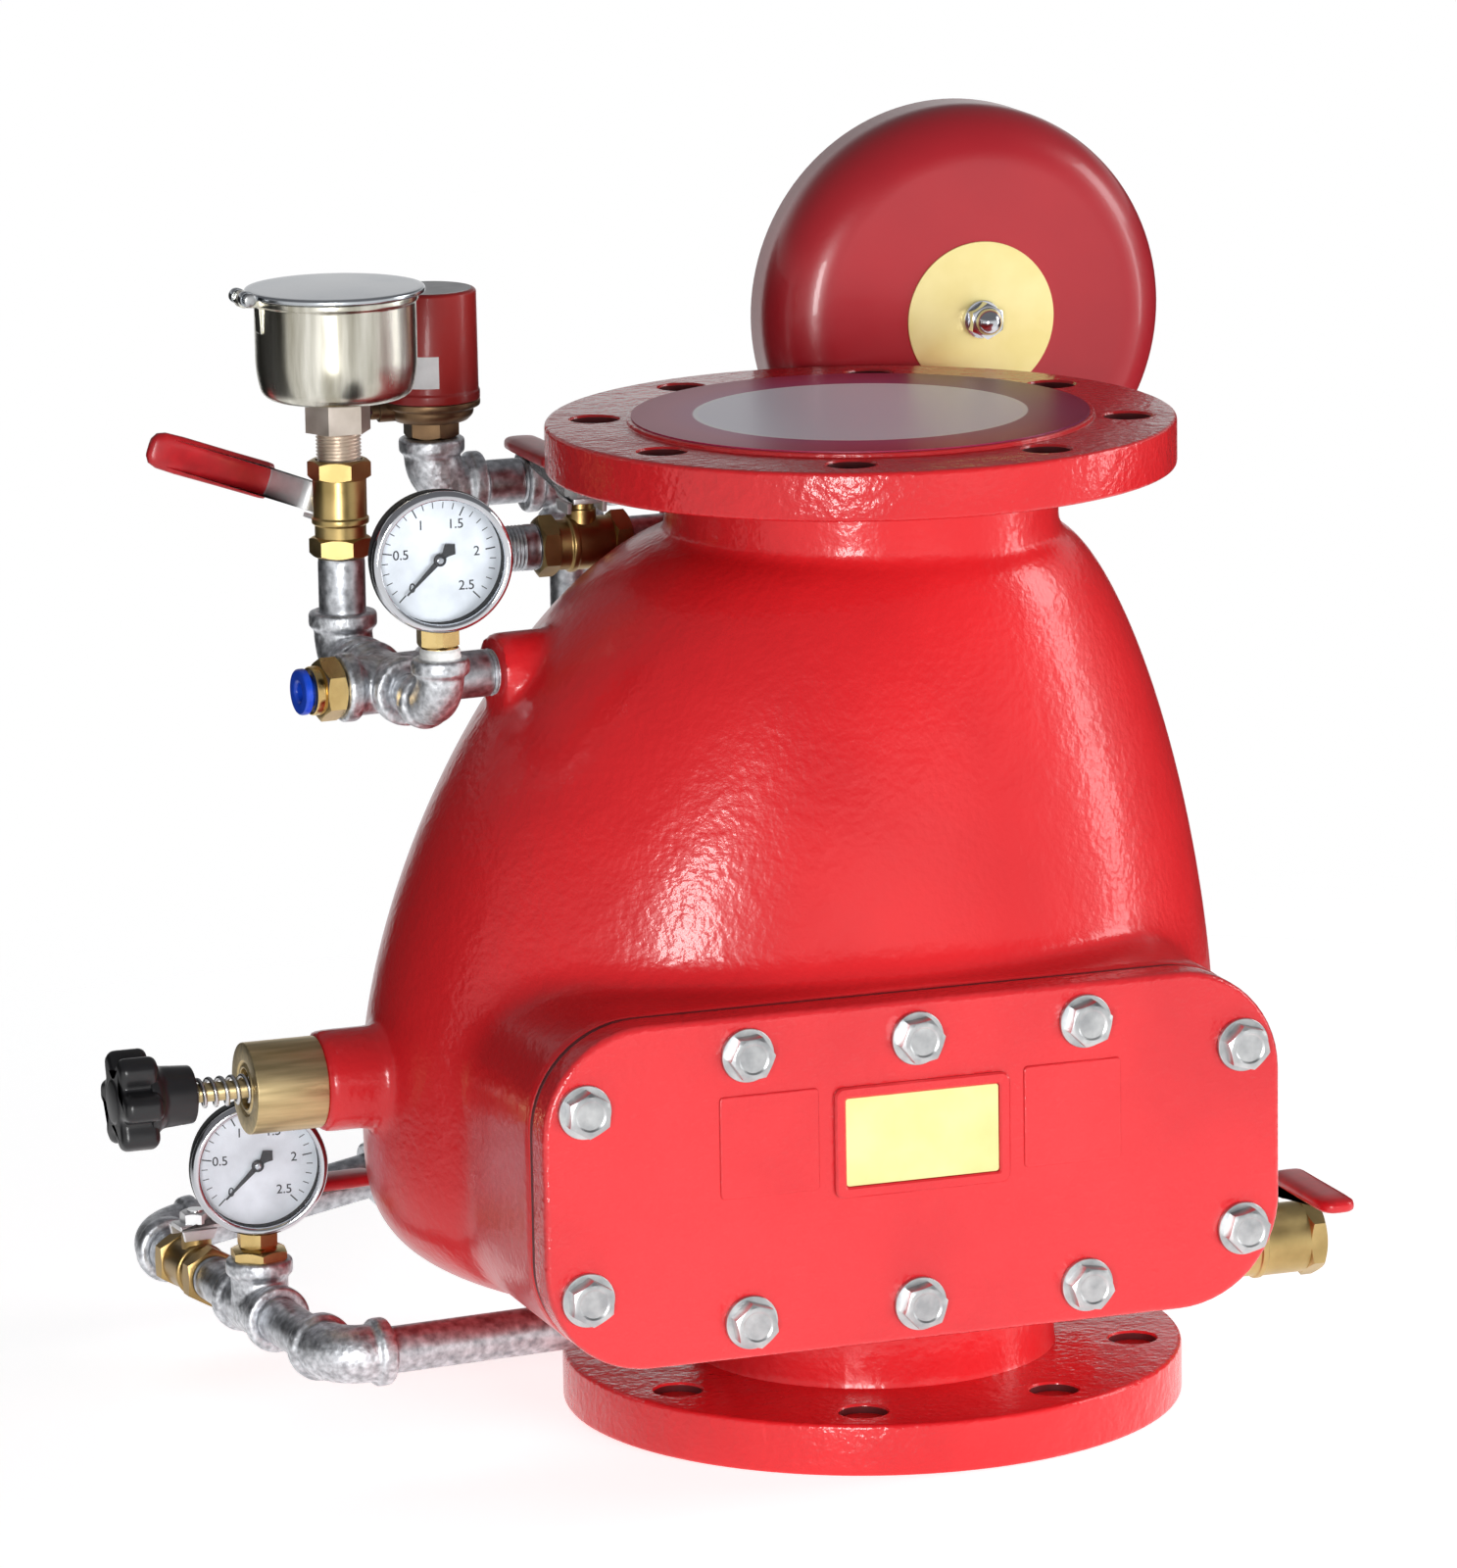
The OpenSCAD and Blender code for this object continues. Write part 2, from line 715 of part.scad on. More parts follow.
module valve_grip_shape(v, rise) difference() {
  translate([0, 0, lever_z(v) + rise + lever_t / 2 - grip_t / 2]) union() {
    translate([lever_bend_to, -grip_w / 2, 0])
      cube([v[6] + grip_tip - lever_bend_to - grip_w / 2, grip_w, grip_t]);
    translate([v[6] + grip_tip - grip_w / 2, 0, 0]) cylinder(d = grip_w, h = grip_t);
  }
  translate([lever_bend_to - overlap, -lever_w / 2 - run_clear, lever_z(v) + rise - run_clear])
    cube([v[6] - lever_bend_to + overlap + run_clear, lever_w + 2 * run_clear, lever_t + 2 * run_clear]);
}

// Casting
module flange_disc(z, h) translate([0, 0, z]) rotate_extrude() polygon([
  [0, 0], [flange_r - flange_chamfer, 0], [flange_r, flange_chamfer], [flange_r, h - flange_chamfer],
  [flange_r - flange_chamfer, h], [0, h]]);

module flange_holes(z, h)
  for (i = [0 : bolt_count - 1])
    rotate([0, 0, (i + 0.5) * 360 / bolt_count])
      translate([bolt_circle_d / 2, 0, z - overlap]) cylinder(d = bolt_hole_d, h = h + 2 * overlap);

module neck_fillet(r) rotate_extrude() difference() {
  translate([r - overlap, -overlap]) square([flange_fillet + overlap, flange_fillet + overlap]);
  translate([r + flange_fillet, flange_fillet]) circle(flange_fillet);
}

// The oval bell: a middle lobe, one to the right and a row of lobes out to the left
module bell(levels, skin) {
  rotate_extrude() polygon(to_axis(middle_curve(levels, skin)));
  translate([right_lobe_x, 0, 0]) rotate_extrude()
    polygon(to_axis(side_curve(levels, skin, right_lobe_x, 1)));
  for (i = [1 : side_lobes])
    translate([left_lobe_x * i / side_lobes, 0, 0]) rotate_extrude()
      polygon(to_axis(side_curve(levels, skin, left_lobe_x, i / side_lobes)));
}

module pipe_boss(l, d = pipe_boss_d) toward_x() cylinder(d = d, h = l);

module casting_outside() {
  bell(bell_levels(underside_z, bell_top_z, inlet_neck_r - neck_tuck, neck_r - neck_tuck), 0);
  flange_disc(0, flange_t);
  flange_disc(outlet_disc_z, flange_t - raised_face_h);
  translate([0, 0, outlet_disc_z]) cylinder(d = raised_face_d, h = flange_t);
  translate([0, 0, shoulder_z]) cylinder(r = neck_r, h = outlet_disc_z - shoulder_z + overlap);
  cylinder(r = inlet_neck_r, h = belly_z);
  translate([0, 0, flange_t]) neck_fillet(inlet_neck_r);
  translate([0, 0, outlet_disc_z]) mirror([0, 0, 1]) neck_fillet(neck_r);
  cover_slab(gasket_y, box_reach + box_back_y, cover_w, cover_h, cover_r);
  translate([-reset_boss_reach, 0, reset_z])
    pipe_boss(reset_boss_reach - bulb_left + 2 * wall, reset_boss_d);
  air_frame() pipe_boss(air_boss_l);
  supply_frame() translate([-port_boss_reach, 0, 0])
    pipe_boss(port_boss_reach / 2, pipe_boss_d - 2 * overlap);
  translate([bore_r, 0, port_z]) pipe_boss(drain_boss_reach - bore_r, pipe_boss_d + 2 * overlap);
  rear_frame() translate([rear_pipe_l, -rear_boss_l, 0]) rotate([0, 0, -90]) pipe_boss(air_boss_l);
  translate([alarm_x, riser_boss_y, riser_foot_z]) rotate([0, 0, -90]) pipe_boss(air_boss_l);
  translate([vent_boss_x, vent_y, vent_z]) pipe_boss(vent_boss_l);
}

module casting_inside() {
  bell(bell_levels(inner_floor_z, inner_top_z, bore_r - neck_tuck, bore_r - neck_tuck), wall);
  translate([0, 0, -overlap]) cylinder(r = bore_r, h = overall_h + 2 * overlap);
  translate([0, 0, seat_foot_z]) cylinder(r = seat_r + run_clear, h = seat_z - seat_foot_z);
  cover_slab(gasket_y - overlap, box_reach + box_back_y, opening_w, opening_h, opening_r);
  flange_holes(0, flange_t);
  flange_holes(outlet_disc_z, flange_t);
  at_cover_bolts(gasket_y + bolt_grip) cylinder(d = cover_bolt_d + 2 * run_clear, h = bolt_grip + overlap);
  translate([-reset_boss_reach - overlap, 0, reset_z]) {
    toward_x() cylinder(d = gland_spigot_d + 2 * run_clear, h = gland_spigot_l + overlap);
    toward_x() cylinder(d = stem_collar_d + 2 * overlap, h = reset_boss_reach - bulb_shift);
  }
  air_frame() pipe_port(air_boss_l);
  supply_frame() translate([-port_boss_reach, 0, 0]) pipe_port(port_boss_reach - bore_r + wall);
  translate([drain_boss_reach, 0, port_z]) mirror([1, 0, 0])
    pipe_port(drain_boss_reach - bore_r + wall, drain_pipe_d);
  rear_frame() translate([rear_pipe_l, -rear_boss_l, 0]) rotate([0, 0, -90]) pipe_port(air_boss_l);
  translate([alarm_x, riser_boss_y, riser_foot_z]) rotate([0, 0, -90]) pipe_port(air_boss_l);
  translate([vent_boss_x, vent_y, vent_z]) pipe_port(boss_socket_l + chamber_port_d);
  translate([vent_boss_x + boss_socket_l + chamber_port_d / 2, vent_y, vent_z]) rotate([0, 0, -90])
    toward_x() cylinder(d = vent_drill_d, h = vent_y / 2);
}

// A pipe socket with the port behind it, along +X from the boss face
module pipe_port(l, d = pipe_d) {
  translate([-overlap, 0, 0]) toward_x() cylinder(d = d + 2 * run_clear, h = boss_socket_l + overlap);
  toward_x() cylinder(d = chamber_port_d, h = l);
}

module hinge_lugs() {
  for (y = [-1, 1]) translate([-hinge_reach, y * (hinge_boss_l + hinge_lug_t) / 2 + y * seat_clear, 0]) {
    translate([-hinge_lug_w / 2, -hinge_lug_t / 2, inner_floor_z - wall / 2])
      cube([hinge_lug_w, hinge_lug_t, hinge_z - inner_floor_z + wall / 2]);
    translate([0, hinge_lug_t / 2, hinge_z]) rotate([90, 0, 0]) cylinder(d = hinge_lug_w, h = hinge_lug_t);
  }
}

module latch_lugs() {
  reach = bulb_left - wall / 2 + latch_x;
  for (y = [-1, 1]) translate([latch_x, y * (latch_t + latch_lug_t) / 2 + y * seat_clear, latch_z]) {
    translate([-reach, -latch_lug_t / 2, -latch_lug_h / 2]) cube([reach, latch_lug_t, latch_lug_h]);
    translate([0, latch_lug_t / 2, 0]) rotate([90, 0, 0]) cylinder(d = latch_lug_h, h = latch_lug_t);
  }
}

module pin(x, z, d, l) translate([x, l / 2, z]) rotate([90, 0, 0]) cylinder(d = d, h = l);

module valve_body() color(red_enamel) difference() {
  union() {
    difference() {
      casting_outside();
      casting_inside();
    }
    hinge_lugs();
    latch_lugs();
  }
  pin(-hinge_reach, hinge_z, hinge_pin_d + 2 * run_clear, 2 * hinge_pin_l);
  pin(latch_x, latch_z, latch_pin_d + 2 * run_clear, 2 * latch_pin_l);
}

module seat_ring() color(bronze) translate([0, 0, seat_foot_z]) rotate_extrude() difference() {
  translate([bore_r, 0]) square([seat_wall, seat_z - seat_foot_z]);
  translate([seat_groove_r - seat_groove_w / 2, seat_z - seat_foot_z - seat_groove_depth])
    square([seat_groove_w, seat_groove_depth + overlap]);
}

module pivot_pins() color(zinc) {
  pin(-hinge_reach, hinge_z, hinge_pin_d, hinge_pin_l);
  pin(latch_x, latch_z, latch_pin_d, latch_pin_l);
}

// Clapper
module clapper_disc() color(bronze) difference() {
  union() {
    translate([0, 0, clapper_z]) cylinder(d = clapper_d, h = clapper_t);
    translate([0, 0, clapper_z]) cylinder(d = clapper_hub_d, h = clapper_t + clapper_hub_h);
    intersection() {
      translate([0, 0, clapper_z]) cylinder(d = clapper_d, h = clapper_t + clapper_rib_h);
      for (i = [0 : clapper_ribs - 1])
        rotate([0, 0, i * 360 / clapper_ribs])
          translate([0, -clapper_rib_t / 2, clapper_z])
            cube([clapper_d, clapper_rib_t, clapper_t + clapper_rib_h]);
    }
    translate([-hinge_reach, -arm_w / 2, clapper_z]) cube([hinge_reach, arm_w, clapper_t]);
    pin(-hinge_reach, hinge_z, hinge_boss_d, hinge_boss_l);
  }
  pin(-hinge_reach, hinge_z, hinge_pin_d + 2 * run_clear, 2 * hinge_boss_l);
  translate([0, 0, clapper_z - overlap])
    cylinder(d = clamp_bolt_d + 2 * run_clear, h = clapper_t + clapper_hub_h + 2 * overlap);
}

module clapper_facing() color(black) translate([0, 0, facing_z]) difference() {
  cylinder(r = facing_r, h = facing_t);
  translate([0, 0, -overlap]) cylinder(r = facing_bore_r, h = facing_t + 2 * overlap);
}

module clapper_clamp_plate() color(zinc) {
  translate([0, 0, facing_z]) cylinder(r = facing_bore_r - run_clear, h = facing_t);
  translate([0, 0, facing_z - clamp_t]) cylinder(r = clamp_r, h = clamp_t);
  translate([0, 0, facing_z]) cylinder(d = clamp_bolt_d, h = facing_t + clapper_t + clapper_hub_h);
  translate([0, 0, clapper_z + clapper_t + clapper_hub_h]) hexagon(clamp_bolt_af, clamp_bolt_h);
}

module latch_pawl() color(bronze) difference() {
  union() {
    pin(latch_x, latch_z, latch_boss_d, latch_t);
    translate([latch_x - latch_tail_w, -latch_t / 2, reset_z - stem_d])
      cube([latch_tail_w, latch_t, latch_arm + stem_d]);
    translate([latch_x, latch_t / 2, latch_z]) rotate([90, 0, 0]) linear_extrude(latch_t) polygon([
      [-latch_tail_w, 0], [latch_tail_w / 2, 0], [latch_tail_w, latch_nose_l - latch_tail_w],
      [2 * latch_tail_w, latch_nose_l], [0, latch_nose_l]]);
  }
  pin(latch_x, latch_z, latch_pin_d + 2 * run_clear, 2 * latch_t);
}

// Hand-hole cover
module cover_gasket() color(black) difference() {
  cover_slab(cover_back_y, gasket_t, cover_w, cover_h, cover_r);
  cover_slab(cover_back_y - overlap, gasket_t + 2 * overlap, opening_w, opening_h, opening_r);
  at_cover_bolts(gasket_y + overlap)
    cylinder(d = cover_bolt_d + 2 * bolt_hole_clear, h = gasket_t + 2 * overlap);
}

module handhole_cover() color(red_enamel) difference() {
  union() {
    cover_slab(cover_face_y, cover_t, cover_w, cover_h, cover_r);
    translate([cover_x + plate_x, cover_face_y, cover_z + plate_z]) rotate([90, 0, 0])
      linear_extrude(plate_rim_h) difference() {
        square([plate_w + 2 * plate_rim, plate_h + 2 * plate_rim], center = true);
        square([plate_w + 2 * run_clear, plate_h + 2 * run_clear], center = true);
      }
    for (x = [-1, 1])
      translate([cover_x + plate_x + x * pad_x, cover_face_y, cover_z + pad_z]) rotate([90, 0, 0])
        linear_extrude(pad_h) square(pad_size, center = true);
  }
  at_cover_bolts(cover_back_y + overlap)
    cylinder(d = cover_bolt_d + 2 * bolt_hole_clear, h = cover_t + pad_h + 2 * overlap);
}

module cover_bolts() color(zinc) {
  at_cover_bolts(cover_face_y) difference() {
    cylinder(d = washer_d, h = washer_t);
    translate([0, 0, -overlap]) cylinder(d = cover_bolt_d + 2 * run_clear, h = washer_t + 2 * overlap);
  }
  at_cover_bolts(cover_face_y - washer_t) {
    hexagon(cover_bolt_af, bolt_head_h);
    mirror([0, 0, 1]) cylinder(d = cover_bolt_d, h = washer_t + cover_t + gasket_t + bolt_grip - overlap);
  }
}

module cover_nameplate() color(brass)
  translate([cover_x + plate_x, cover_face_y, cover_z + plate_z]) rotate([90, 0, 0])
    linear_extrude(plate_t) square([plate_w, plate_h], center = true);

// Reset knob
module gland_nut() color(brass) translate([-reset_boss_reach, 0, reset_z]) difference() {
  union() {
    mirror([1, 0, 0]) toward_x() cylinder(d = gland_d, h = gland_l);
    toward_x() cylinder(d = gland_spigot_d, h = gland_spigot_l - overlap);
  }
  translate([-gland_l - overlap, 0, 0]) {
    toward_x() cylinder(d = stem_d + 2 * run_clear, h = gland_l + gland_spigot_l + 2 * overlap);
    toward_x() cylinder(d = spring_seat_d, h = spring_seat_depth + overlap);
  }
}

module knob_spring() color(zinc) {
  steps = spring_turns * spring_ring_steps;
  coil_r = (spring_d - spring_wire_d) / 2;
  coil_l = spring_l - spring_wire_d - 2 * seat_clear;
  translate([spring_foot_x - spring_wire_d / 2 - seat_clear, 0, reset_z])
    cord([for (k = [0 : steps]) let (w = 360 * k / spring_ring_steps)
      [-coil_l * k / steps, coil_r * cos(w), coil_r * sin(w)]], spring_wire_d, spring_sides, [1, 0, 0]);
}

module reset_stem() color(brass) {
  stem_l = stem_tip_x - knob_hub_x + knob_socket_l - overlap;
  translate([stem_tip_x - stem_r, 0, reset_z]) {
    sphere(r = stem_r);
    mirror([1, 0, 0]) toward_x() cylinder(d = stem_d, h = stem_l - stem_r);
  }
  translate([stem_collar_x, 0, reset_z]) toward_x() cylinder(d = stem_collar_d, h = stem_collar_l);
}

module star_knob() color(black) translate([knob_hub_x, 0, reset_z]) rotate([0, -90, 0]) difference() {
  union() {
    cylinder(d = knob_hub_d, h = knob_hub_l + overlap);
    translate([0, 0, knob_hub_l]) linear_extrude(height = knob_head_l) {
      circle(d = knob_core_d);
      for (i = [0 : knob_lobes - 1])
        rotate([0, 0, i * 360 / knob_lobes])
          translate([(knob_d - knob_lobe_d) / 2, 0]) circle(d = knob_lobe_d);
    }
  }
  translate([0, 0, -overlap]) cylinder(d = stem_d + 2 * run_clear, h = knob_socket_l + overlap);
}

// Thin tear-off cover over the outlet
module port_film() color([0.55, 0.30, 0.50])
  translate([0, 0, overall_h]) cylinder(d = raised_face_d - 2 * film_edge, h = film_t);

// Pipes and fittings
module trim_pipes() color(galvanized) {
  air_frame() {
    translate([cross_x + fitting_reach - socket_l, 0, 0])
      pipe(-cross_x - fitting_reach + socket_l + boss_socket_l);
    translate([cross_x, fitting_reach - socket_l, 0]) rotate([0, 0, 90])
      pipe(fill_y - 2 * (fitting_reach - socket_l));
    translate([cross_x, fill_y, fitting_reach - socket_l]) rotate([0, -90, 0])
      pipe(fill_valve_z - valve_l / 2 + valve_end_l - fitting_reach + socket_l);
    translate([cross_x, -fitting_reach + socket_l, 0]) rotate([0, 0, -90])
      pipe(-small_elbow_y - small_reach + socket_l - fitting_reach + socket_l, small_pipe_d);
  }
  supply_frame() {
    translate([-supply_l + fitting_reach - socket_l, 0, 0])
      pipe(supply_l - fitting_reach + socket_l - port_boss_reach + boss_socket_l);
    for (span = [[fitting_reach - socket_l, tee_y - fitting_reach + socket_l],
        [tee_y + fitting_reach - socket_l, test_valve_y - valve_l / 2 + valve_end_l],
        [test_valve_y + valve_l / 2 - valve_end_l, test_line_l - fitting_reach + socket_l]])
      translate([-supply_l, span[0], 0]) rotate([0, 0, 90]) pipe(span[1] - span[0]);
  }
  rear_frame() {
    translate([fitting_reach - socket_l, 0, 0]) pipe(rear_pipe_l - 2 * (fitting_reach - socket_l));
    translate([rear_pipe_l, -fitting_reach + socket_l, 0]) rotate([0, 0, -90])
      pipe(rear_boss_l - fitting_reach + socket_l + boss_socket_l);
  }
  translate([alarm_x, riser_boss_y - boss_socket_l, riser_foot_z]) rotate([0, 0, 90])
    pipe(alarm_y - fitting_reach + socket_l - riser_boss_y + boss_socket_l);
  translate([alarm_x, alarm_y, riser_foot_z + fitting_reach - socket_l]) rotate([0, -90, 0])
    pipe(alarm_z - riser_foot_z - 2 * (fitting_reach - socket_l));
  alarm_frame() {
    translate([switch_x - alarm_x + fitting_reach - socket_l, 0, 0])
      pipe(alarm_x - switch_x - 2 * (fitting_reach - socket_l));
    translate([fitting_reach - socket_l, 0, 0]) pipe(gong_x - alarm_x - 2 * (fitting_reach - socket_l));
  }
  translate([gong_x, alarm_y, alarm_z + fitting_reach - socket_l]) rotate([0, -90, 0])
    pipe(socket_l + motor_wall);
  translate([vent_x + valve_l / 2 - valve_end_l, vent_y, vent_z])
    pipe(vent_boss_x + boss_socket_l - vent_x - valve_l / 2 + valve_end_l);
  translate([vent_x - valve_l / 2 + valve_end_l, vent_y, vent_z]) mirror([1, 0, 0]) pipe(vent_tail_l);
  translate([drain_boss_reach - boss_socket_l, 0, port_z])
    pipe(drain_valve_x - drain_valve_l / 2 + valve_end_l - drain_boss_reach + boss_socket_l, drain_pipe_d);
}

module trim_elbows() color(galvanized) {
  fill_frame() rotate([90, 0, -90]) elbow();
  air_frame() translate([cross_x, small_elbow_y, 0]) rotate([90, 0, 90])
    elbow(small_reach, small_barrel_d, small_bead_d, small_pipe_d);
  supply_frame() translate([-supply_l, 0, 0]) elbow();
  rear_frame() mirror([0, 1, 0]) elbow();
  rear_frame() translate([rear_pipe_l, 0, 0]) rotate([0, 0, 180]) elbow();
  translate([alarm_x, alarm_y, riser_foot_z]) rotate([90, 0, -90]) elbow();
  translate([switch_x, alarm_y, alarm_z]) rotate([90, 0, 0]) elbow();
  translate([gong_x, alarm_y, alarm_z]) rotate([90, 0, 180]) elbow();
}

module trim_tees() color(galvanized) {
  air_frame() translate([cross_x, 0, 0]) cross_fitting();
  supply_frame() translate([-supply_l, tee_y, 0]) rotate([90, 0, 90]) tee();
  alarm_frame() rotate([-90, 0, 0]) tee();
  rear_frame() translate([coupling_at, 0, 0]) toward_x() difference() {
    cylinder(d = bead_d, h = coupling_l);
    translate([0, 0, -overlap]) cylinder(d = pipe_d + 2 * run_clear, h = coupling_l + 2 * overlap);
  }
}

// Gauges: the dial looks towards -Y, its centre at the frame's origin
module gauge_disc(y, t, r) translate([0, y, 0]) toward_y() cylinder(r = r, h = t);

module gauge_socket(spigot_d) difference() {
  union() {
    translate([-socket_square / 2, -socket_square / 2, fitting_reach + socket_hex_h - gauge_rise])
      cube([socket_square, socket_square,
        gauge_rise - fitting_reach - socket_hex_h - case_r + socket_square / 2]);
    translate([0, 0, fitting_reach - gauge_rise]) hexagon(socket_hex_af, socket_hex_h + overlap);
    translate([0, 0, fitting_reach - socket_spigot_l - gauge_rise])
      cylinder(d = spigot_d, h = socket_spigot_l + overlap);
  }
  gauge_disc(-gauge_depth, 2 * gauge_depth, case_r + run_clear);
  gauge_disc(-gauge_depth, gauge_depth / 2 + bezel_l + seat_clear, gauge_r + run_clear);
}
module gauge_sockets() color(brass) {
  air_gauge_frame() gauge_socket(small_pipe_d);
  supply_gauge_frame() gauge_socket(pipe_d);
}

module gauge_cases() color(black) at_gauges() difference() {
  gauge_disc(case_front_y, case_back_y - case_front_y, case_r);
  gauge_disc(case_front_y - overlap, dial_sink + overlap, dial_r + run_clear);
  gauge_disc(dial_y - overlap, needle_pin_l + overlap, needle_pin_d / 2 + run_clear);
}

module gauge_bezels() color(zinc) at_gauges() difference() {
  gauge_disc(-gauge_depth / 2, bezel_l, gauge_r);
  gauge_disc(-gauge_depth / 2 + bezel_front, bezel_l, case_r + run_clear);
  gauge_disc(-gauge_depth / 2 - overlap, bezel_l, gauge_r - bezel_lip);
}

module gauge_dials() color(white) at_gauges() difference() {
  gauge_disc(dial_y - dial_t, dial_t, dial_r);
  gauge_disc(dial_y - 2 * dial_t, 3 * dial_t, needle_pin_d / 2 + run_clear);
}

module gauge_windows() color([0.85, 0.90, 0.95, 0.3]) at_gauges()
  gauge_disc(case_front_y - glass_t, glass_t, glass_r);

module gauge_needle() {
  needle_y = dial_y - dial_t - needle_gap - needle_t;
  rotate([0, needle_zero, 0]) {
    gauge_disc(needle_y, needle_t, needle_hub_d / 2);
    gauge_disc(needle_y, needle_pin_l + needle_t, needle_pin_d / 2);
    translate([0, needle_y + needle_t, 0]) rotate([90, 0, 0]) linear_extrude(needle_t) polygon([
      [-needle_w / 2, 0], [0, -needle_l], [needle_w / 2, 0], [needle_w, needle_tail_l],
      [-needle_w, needle_tail_l]]);
  }
}
module air_gauge_needle() color(black) air_gauge_frame() gauge_needle();
module supply_gauge_needle() color(black) supply_gauge_frame() gauge_needle();

// Push-in tube fitting on the cross
module push_fitting() color(brass) air_frame() translate([cross_x - fitting_reach, 0, 0]) difference() {
  union() {
    mirror([1, 0, 0]) toward_x() hexagon(push_hex_af, push_hex_l);
    translate([-push_hex_l - push_sleeve_l, 0, 0])
      toward_x() cylinder(d = push_sleeve_d, h = push_sleeve_l + overlap);
    toward_x() cylinder(d = pipe_d, h = push_spigot_l);
  }
  translate([-push_hex_l - push_sleeve_l - overlap, 0, 0])
    toward_x() cylinder(d = push_bore_d, h = push_hex_l + push_sleeve_l);
  translate([-push_hex_l, 0, 0]) toward_x() cylinder(d = tube_d, h = push_hex_l + push_spigot_l + overlap);
}

module push_collet() color([0.05, 0.20, 0.75])
  air_frame()
    translate([cross_x - fitting_reach - push_hex_l - push_sleeve_l - collet_travel - seat_clear, 0, 0])
    difference() {
      union() {
        mirror([1, 0, 0]) toward_x() cylinder(d = collet_d, h = collet_l);
        toward_x() cylinder(d = push_bore_d - 2 * run_clear, h = collet_neck_l);
      }
      translate([-collet_l - overlap, 0, 0])
        toward_x() cylinder(d = tube_d + 2 * run_clear, h = collet_l + collet_neck_l + 2 * overlap);
    }

// Ball valves
module fill_valve_body() color(brass) fill_valve_frame() valve_body_shape(small_valve);
module fill_valve_ball() color(zinc)
  fill_valve_frame() rotate([0, 0, fill_lever_angle]) valve_ball_shape(small_valve);
module fill_valve_lever() color(zinc)
  fill_valve_frame() rotate([0, 0, fill_lever_angle]) valve_lever_shape(small_valve, fill_lever_rise);
module fill_valve_grip() color(red_enamel)
  fill_valve_frame() rotate([0, 0, fill_lever_angle]) valve_grip_shape(small_valve, fill_lever_rise);

module vent_valve_body() color(bronze) vent_valve_frame() valve_body_shape(small_valve);
module vent_valve_ball() color(zinc)
  vent_valve_frame() rotate([0, 0, vent_lever_angle]) valve_ball_shape(small_valve);
module vent_valve_lever() color(zinc)
  vent_valve_frame() rotate([0, 0, vent_lever_angle]) valve_lever_shape(small_valve, lever_rise);
module vent_valve_grip() color(red_enamel)
  vent_valve_frame() rotate([0, 0, vent_lever_angle]) valve_grip_shape(small_valve, lever_rise);

module test_valve_body() color(bronze) test_valve_frame() valve_body_shape(small_valve);
module test_valve_ball() color(zinc)
  test_valve_frame() rotate([0, 0, test_lever_angle]) valve_ball_shape(small_valve);
module test_valve_lever() color(zinc)
  test_valve_frame() rotate([0, 0, test_lever_angle]) valve_lever_shape(small_valve, lever_rise);
module test_valve_grip() color(red_enamel)
  test_valve_frame() rotate([0, 0, test_lever_angle]) valve_grip_shape(small_valve, lever_rise);

module drain_valve_body() color(brass) drain_valve_frame() valve_body_shape(drain_valve);
module drain_valve_ball() color(zinc)
  drain_valve_frame() rotate([0, 0, drain_lever_angle]) valve_ball_shape(drain_valve);
module drain_valve_lever() color(zinc)
  drain_valve_frame() rotate([0, 0, drain_lever_angle]) valve_lever_shape(drain_valve, lever_rise);
module drain_valve_grip() color(red_enamel)
  drain_valve_frame() rotate([0, 0, drain_lever_angle]) valve_grip_shape(drain_valve, lever_rise);

// Filling cup
module fill_adapter() color(zinc) fill_frame() difference() {
  union() {
    translate([0, 0, adapter_z - valve_end_l + overlap])
      cylinder(d = adapter_thread_d, h = adapter_thread_l + valve_end_l);
    translate([0, 0, adapter_z + adapter_thread_l]) hexagon(adapter_hex_af, adapter_hex_h);
  }
  translate([0, 0, adapter_z - valve_end_l])
    cylinder(d = chamber_port_d, h = cup_z - adapter_z + valve_end_l + overlap);
  translate([0, 0, cup_z - cup_spout_l])
    cylinder(d = cup_spout_d + 2 * run_clear, h = cup_spout_l + overlap);
}

// Half profile of the cup's outside or inside, with a rounded foot
module cup_profile(r, z, h) {
  translate([0, z]) square([r - cup_round, h]);
  translate([0, z + cup_round]) square([r, h - cup_round]);
  intersection() {
    translate([r - cup_round, z + cup_round]) circle(cup_round);
    translate([0, z]) square([r, h]);
  }
}

module fill_cup() color(bronze) fill_frame() difference() {
  union() {
    rotate_extrude() difference() {
      cup_profile(cup_r, cup_z, cup_h);
      cup_profile(cup_r - cup_wall, cup_z + cup_wall, cup_h);
    }
    translate([0, 0, cup_z - cup_spout_l + overlap]) cylinder(d = cup_spout_d, h = cup_spout_l);
    translate([lid_hinge_x, knuckle_w / 2, lid_hinge_z]) rotate([90, 0, 0]) {
      cylinder(d = knuckle_d, h = knuckle_w);
      linear_extrude(knuckle_w) polygon([
        [-knuckle_d / 2, 0], [knuckle_d / 2 - 1, 0], [knuckle_d / 2 - 1, -lid_t / 2 - 2 * seat_clear],
        [-lid_hinge_x - cup_r + cup_wall / 2, -lid_t / 2 - 2 * seat_clear],
        [-lid_hinge_x - cup_r + cup_wall / 2, -lug_drop]]);
    }
  }
  translate([0, 0, cup_z - cup_spout_l]) cylinder(d = chamber_port_d, h = cup_spout_l + 2 * cup_wall);
  translate([lid_hinge_x, lid_pin_l, lid_hinge_z]) rotate([90, 0, 0])
    cylinder(d = lid_pin_d + 2 * run_clear, h = 2 * lid_pin_l);
}

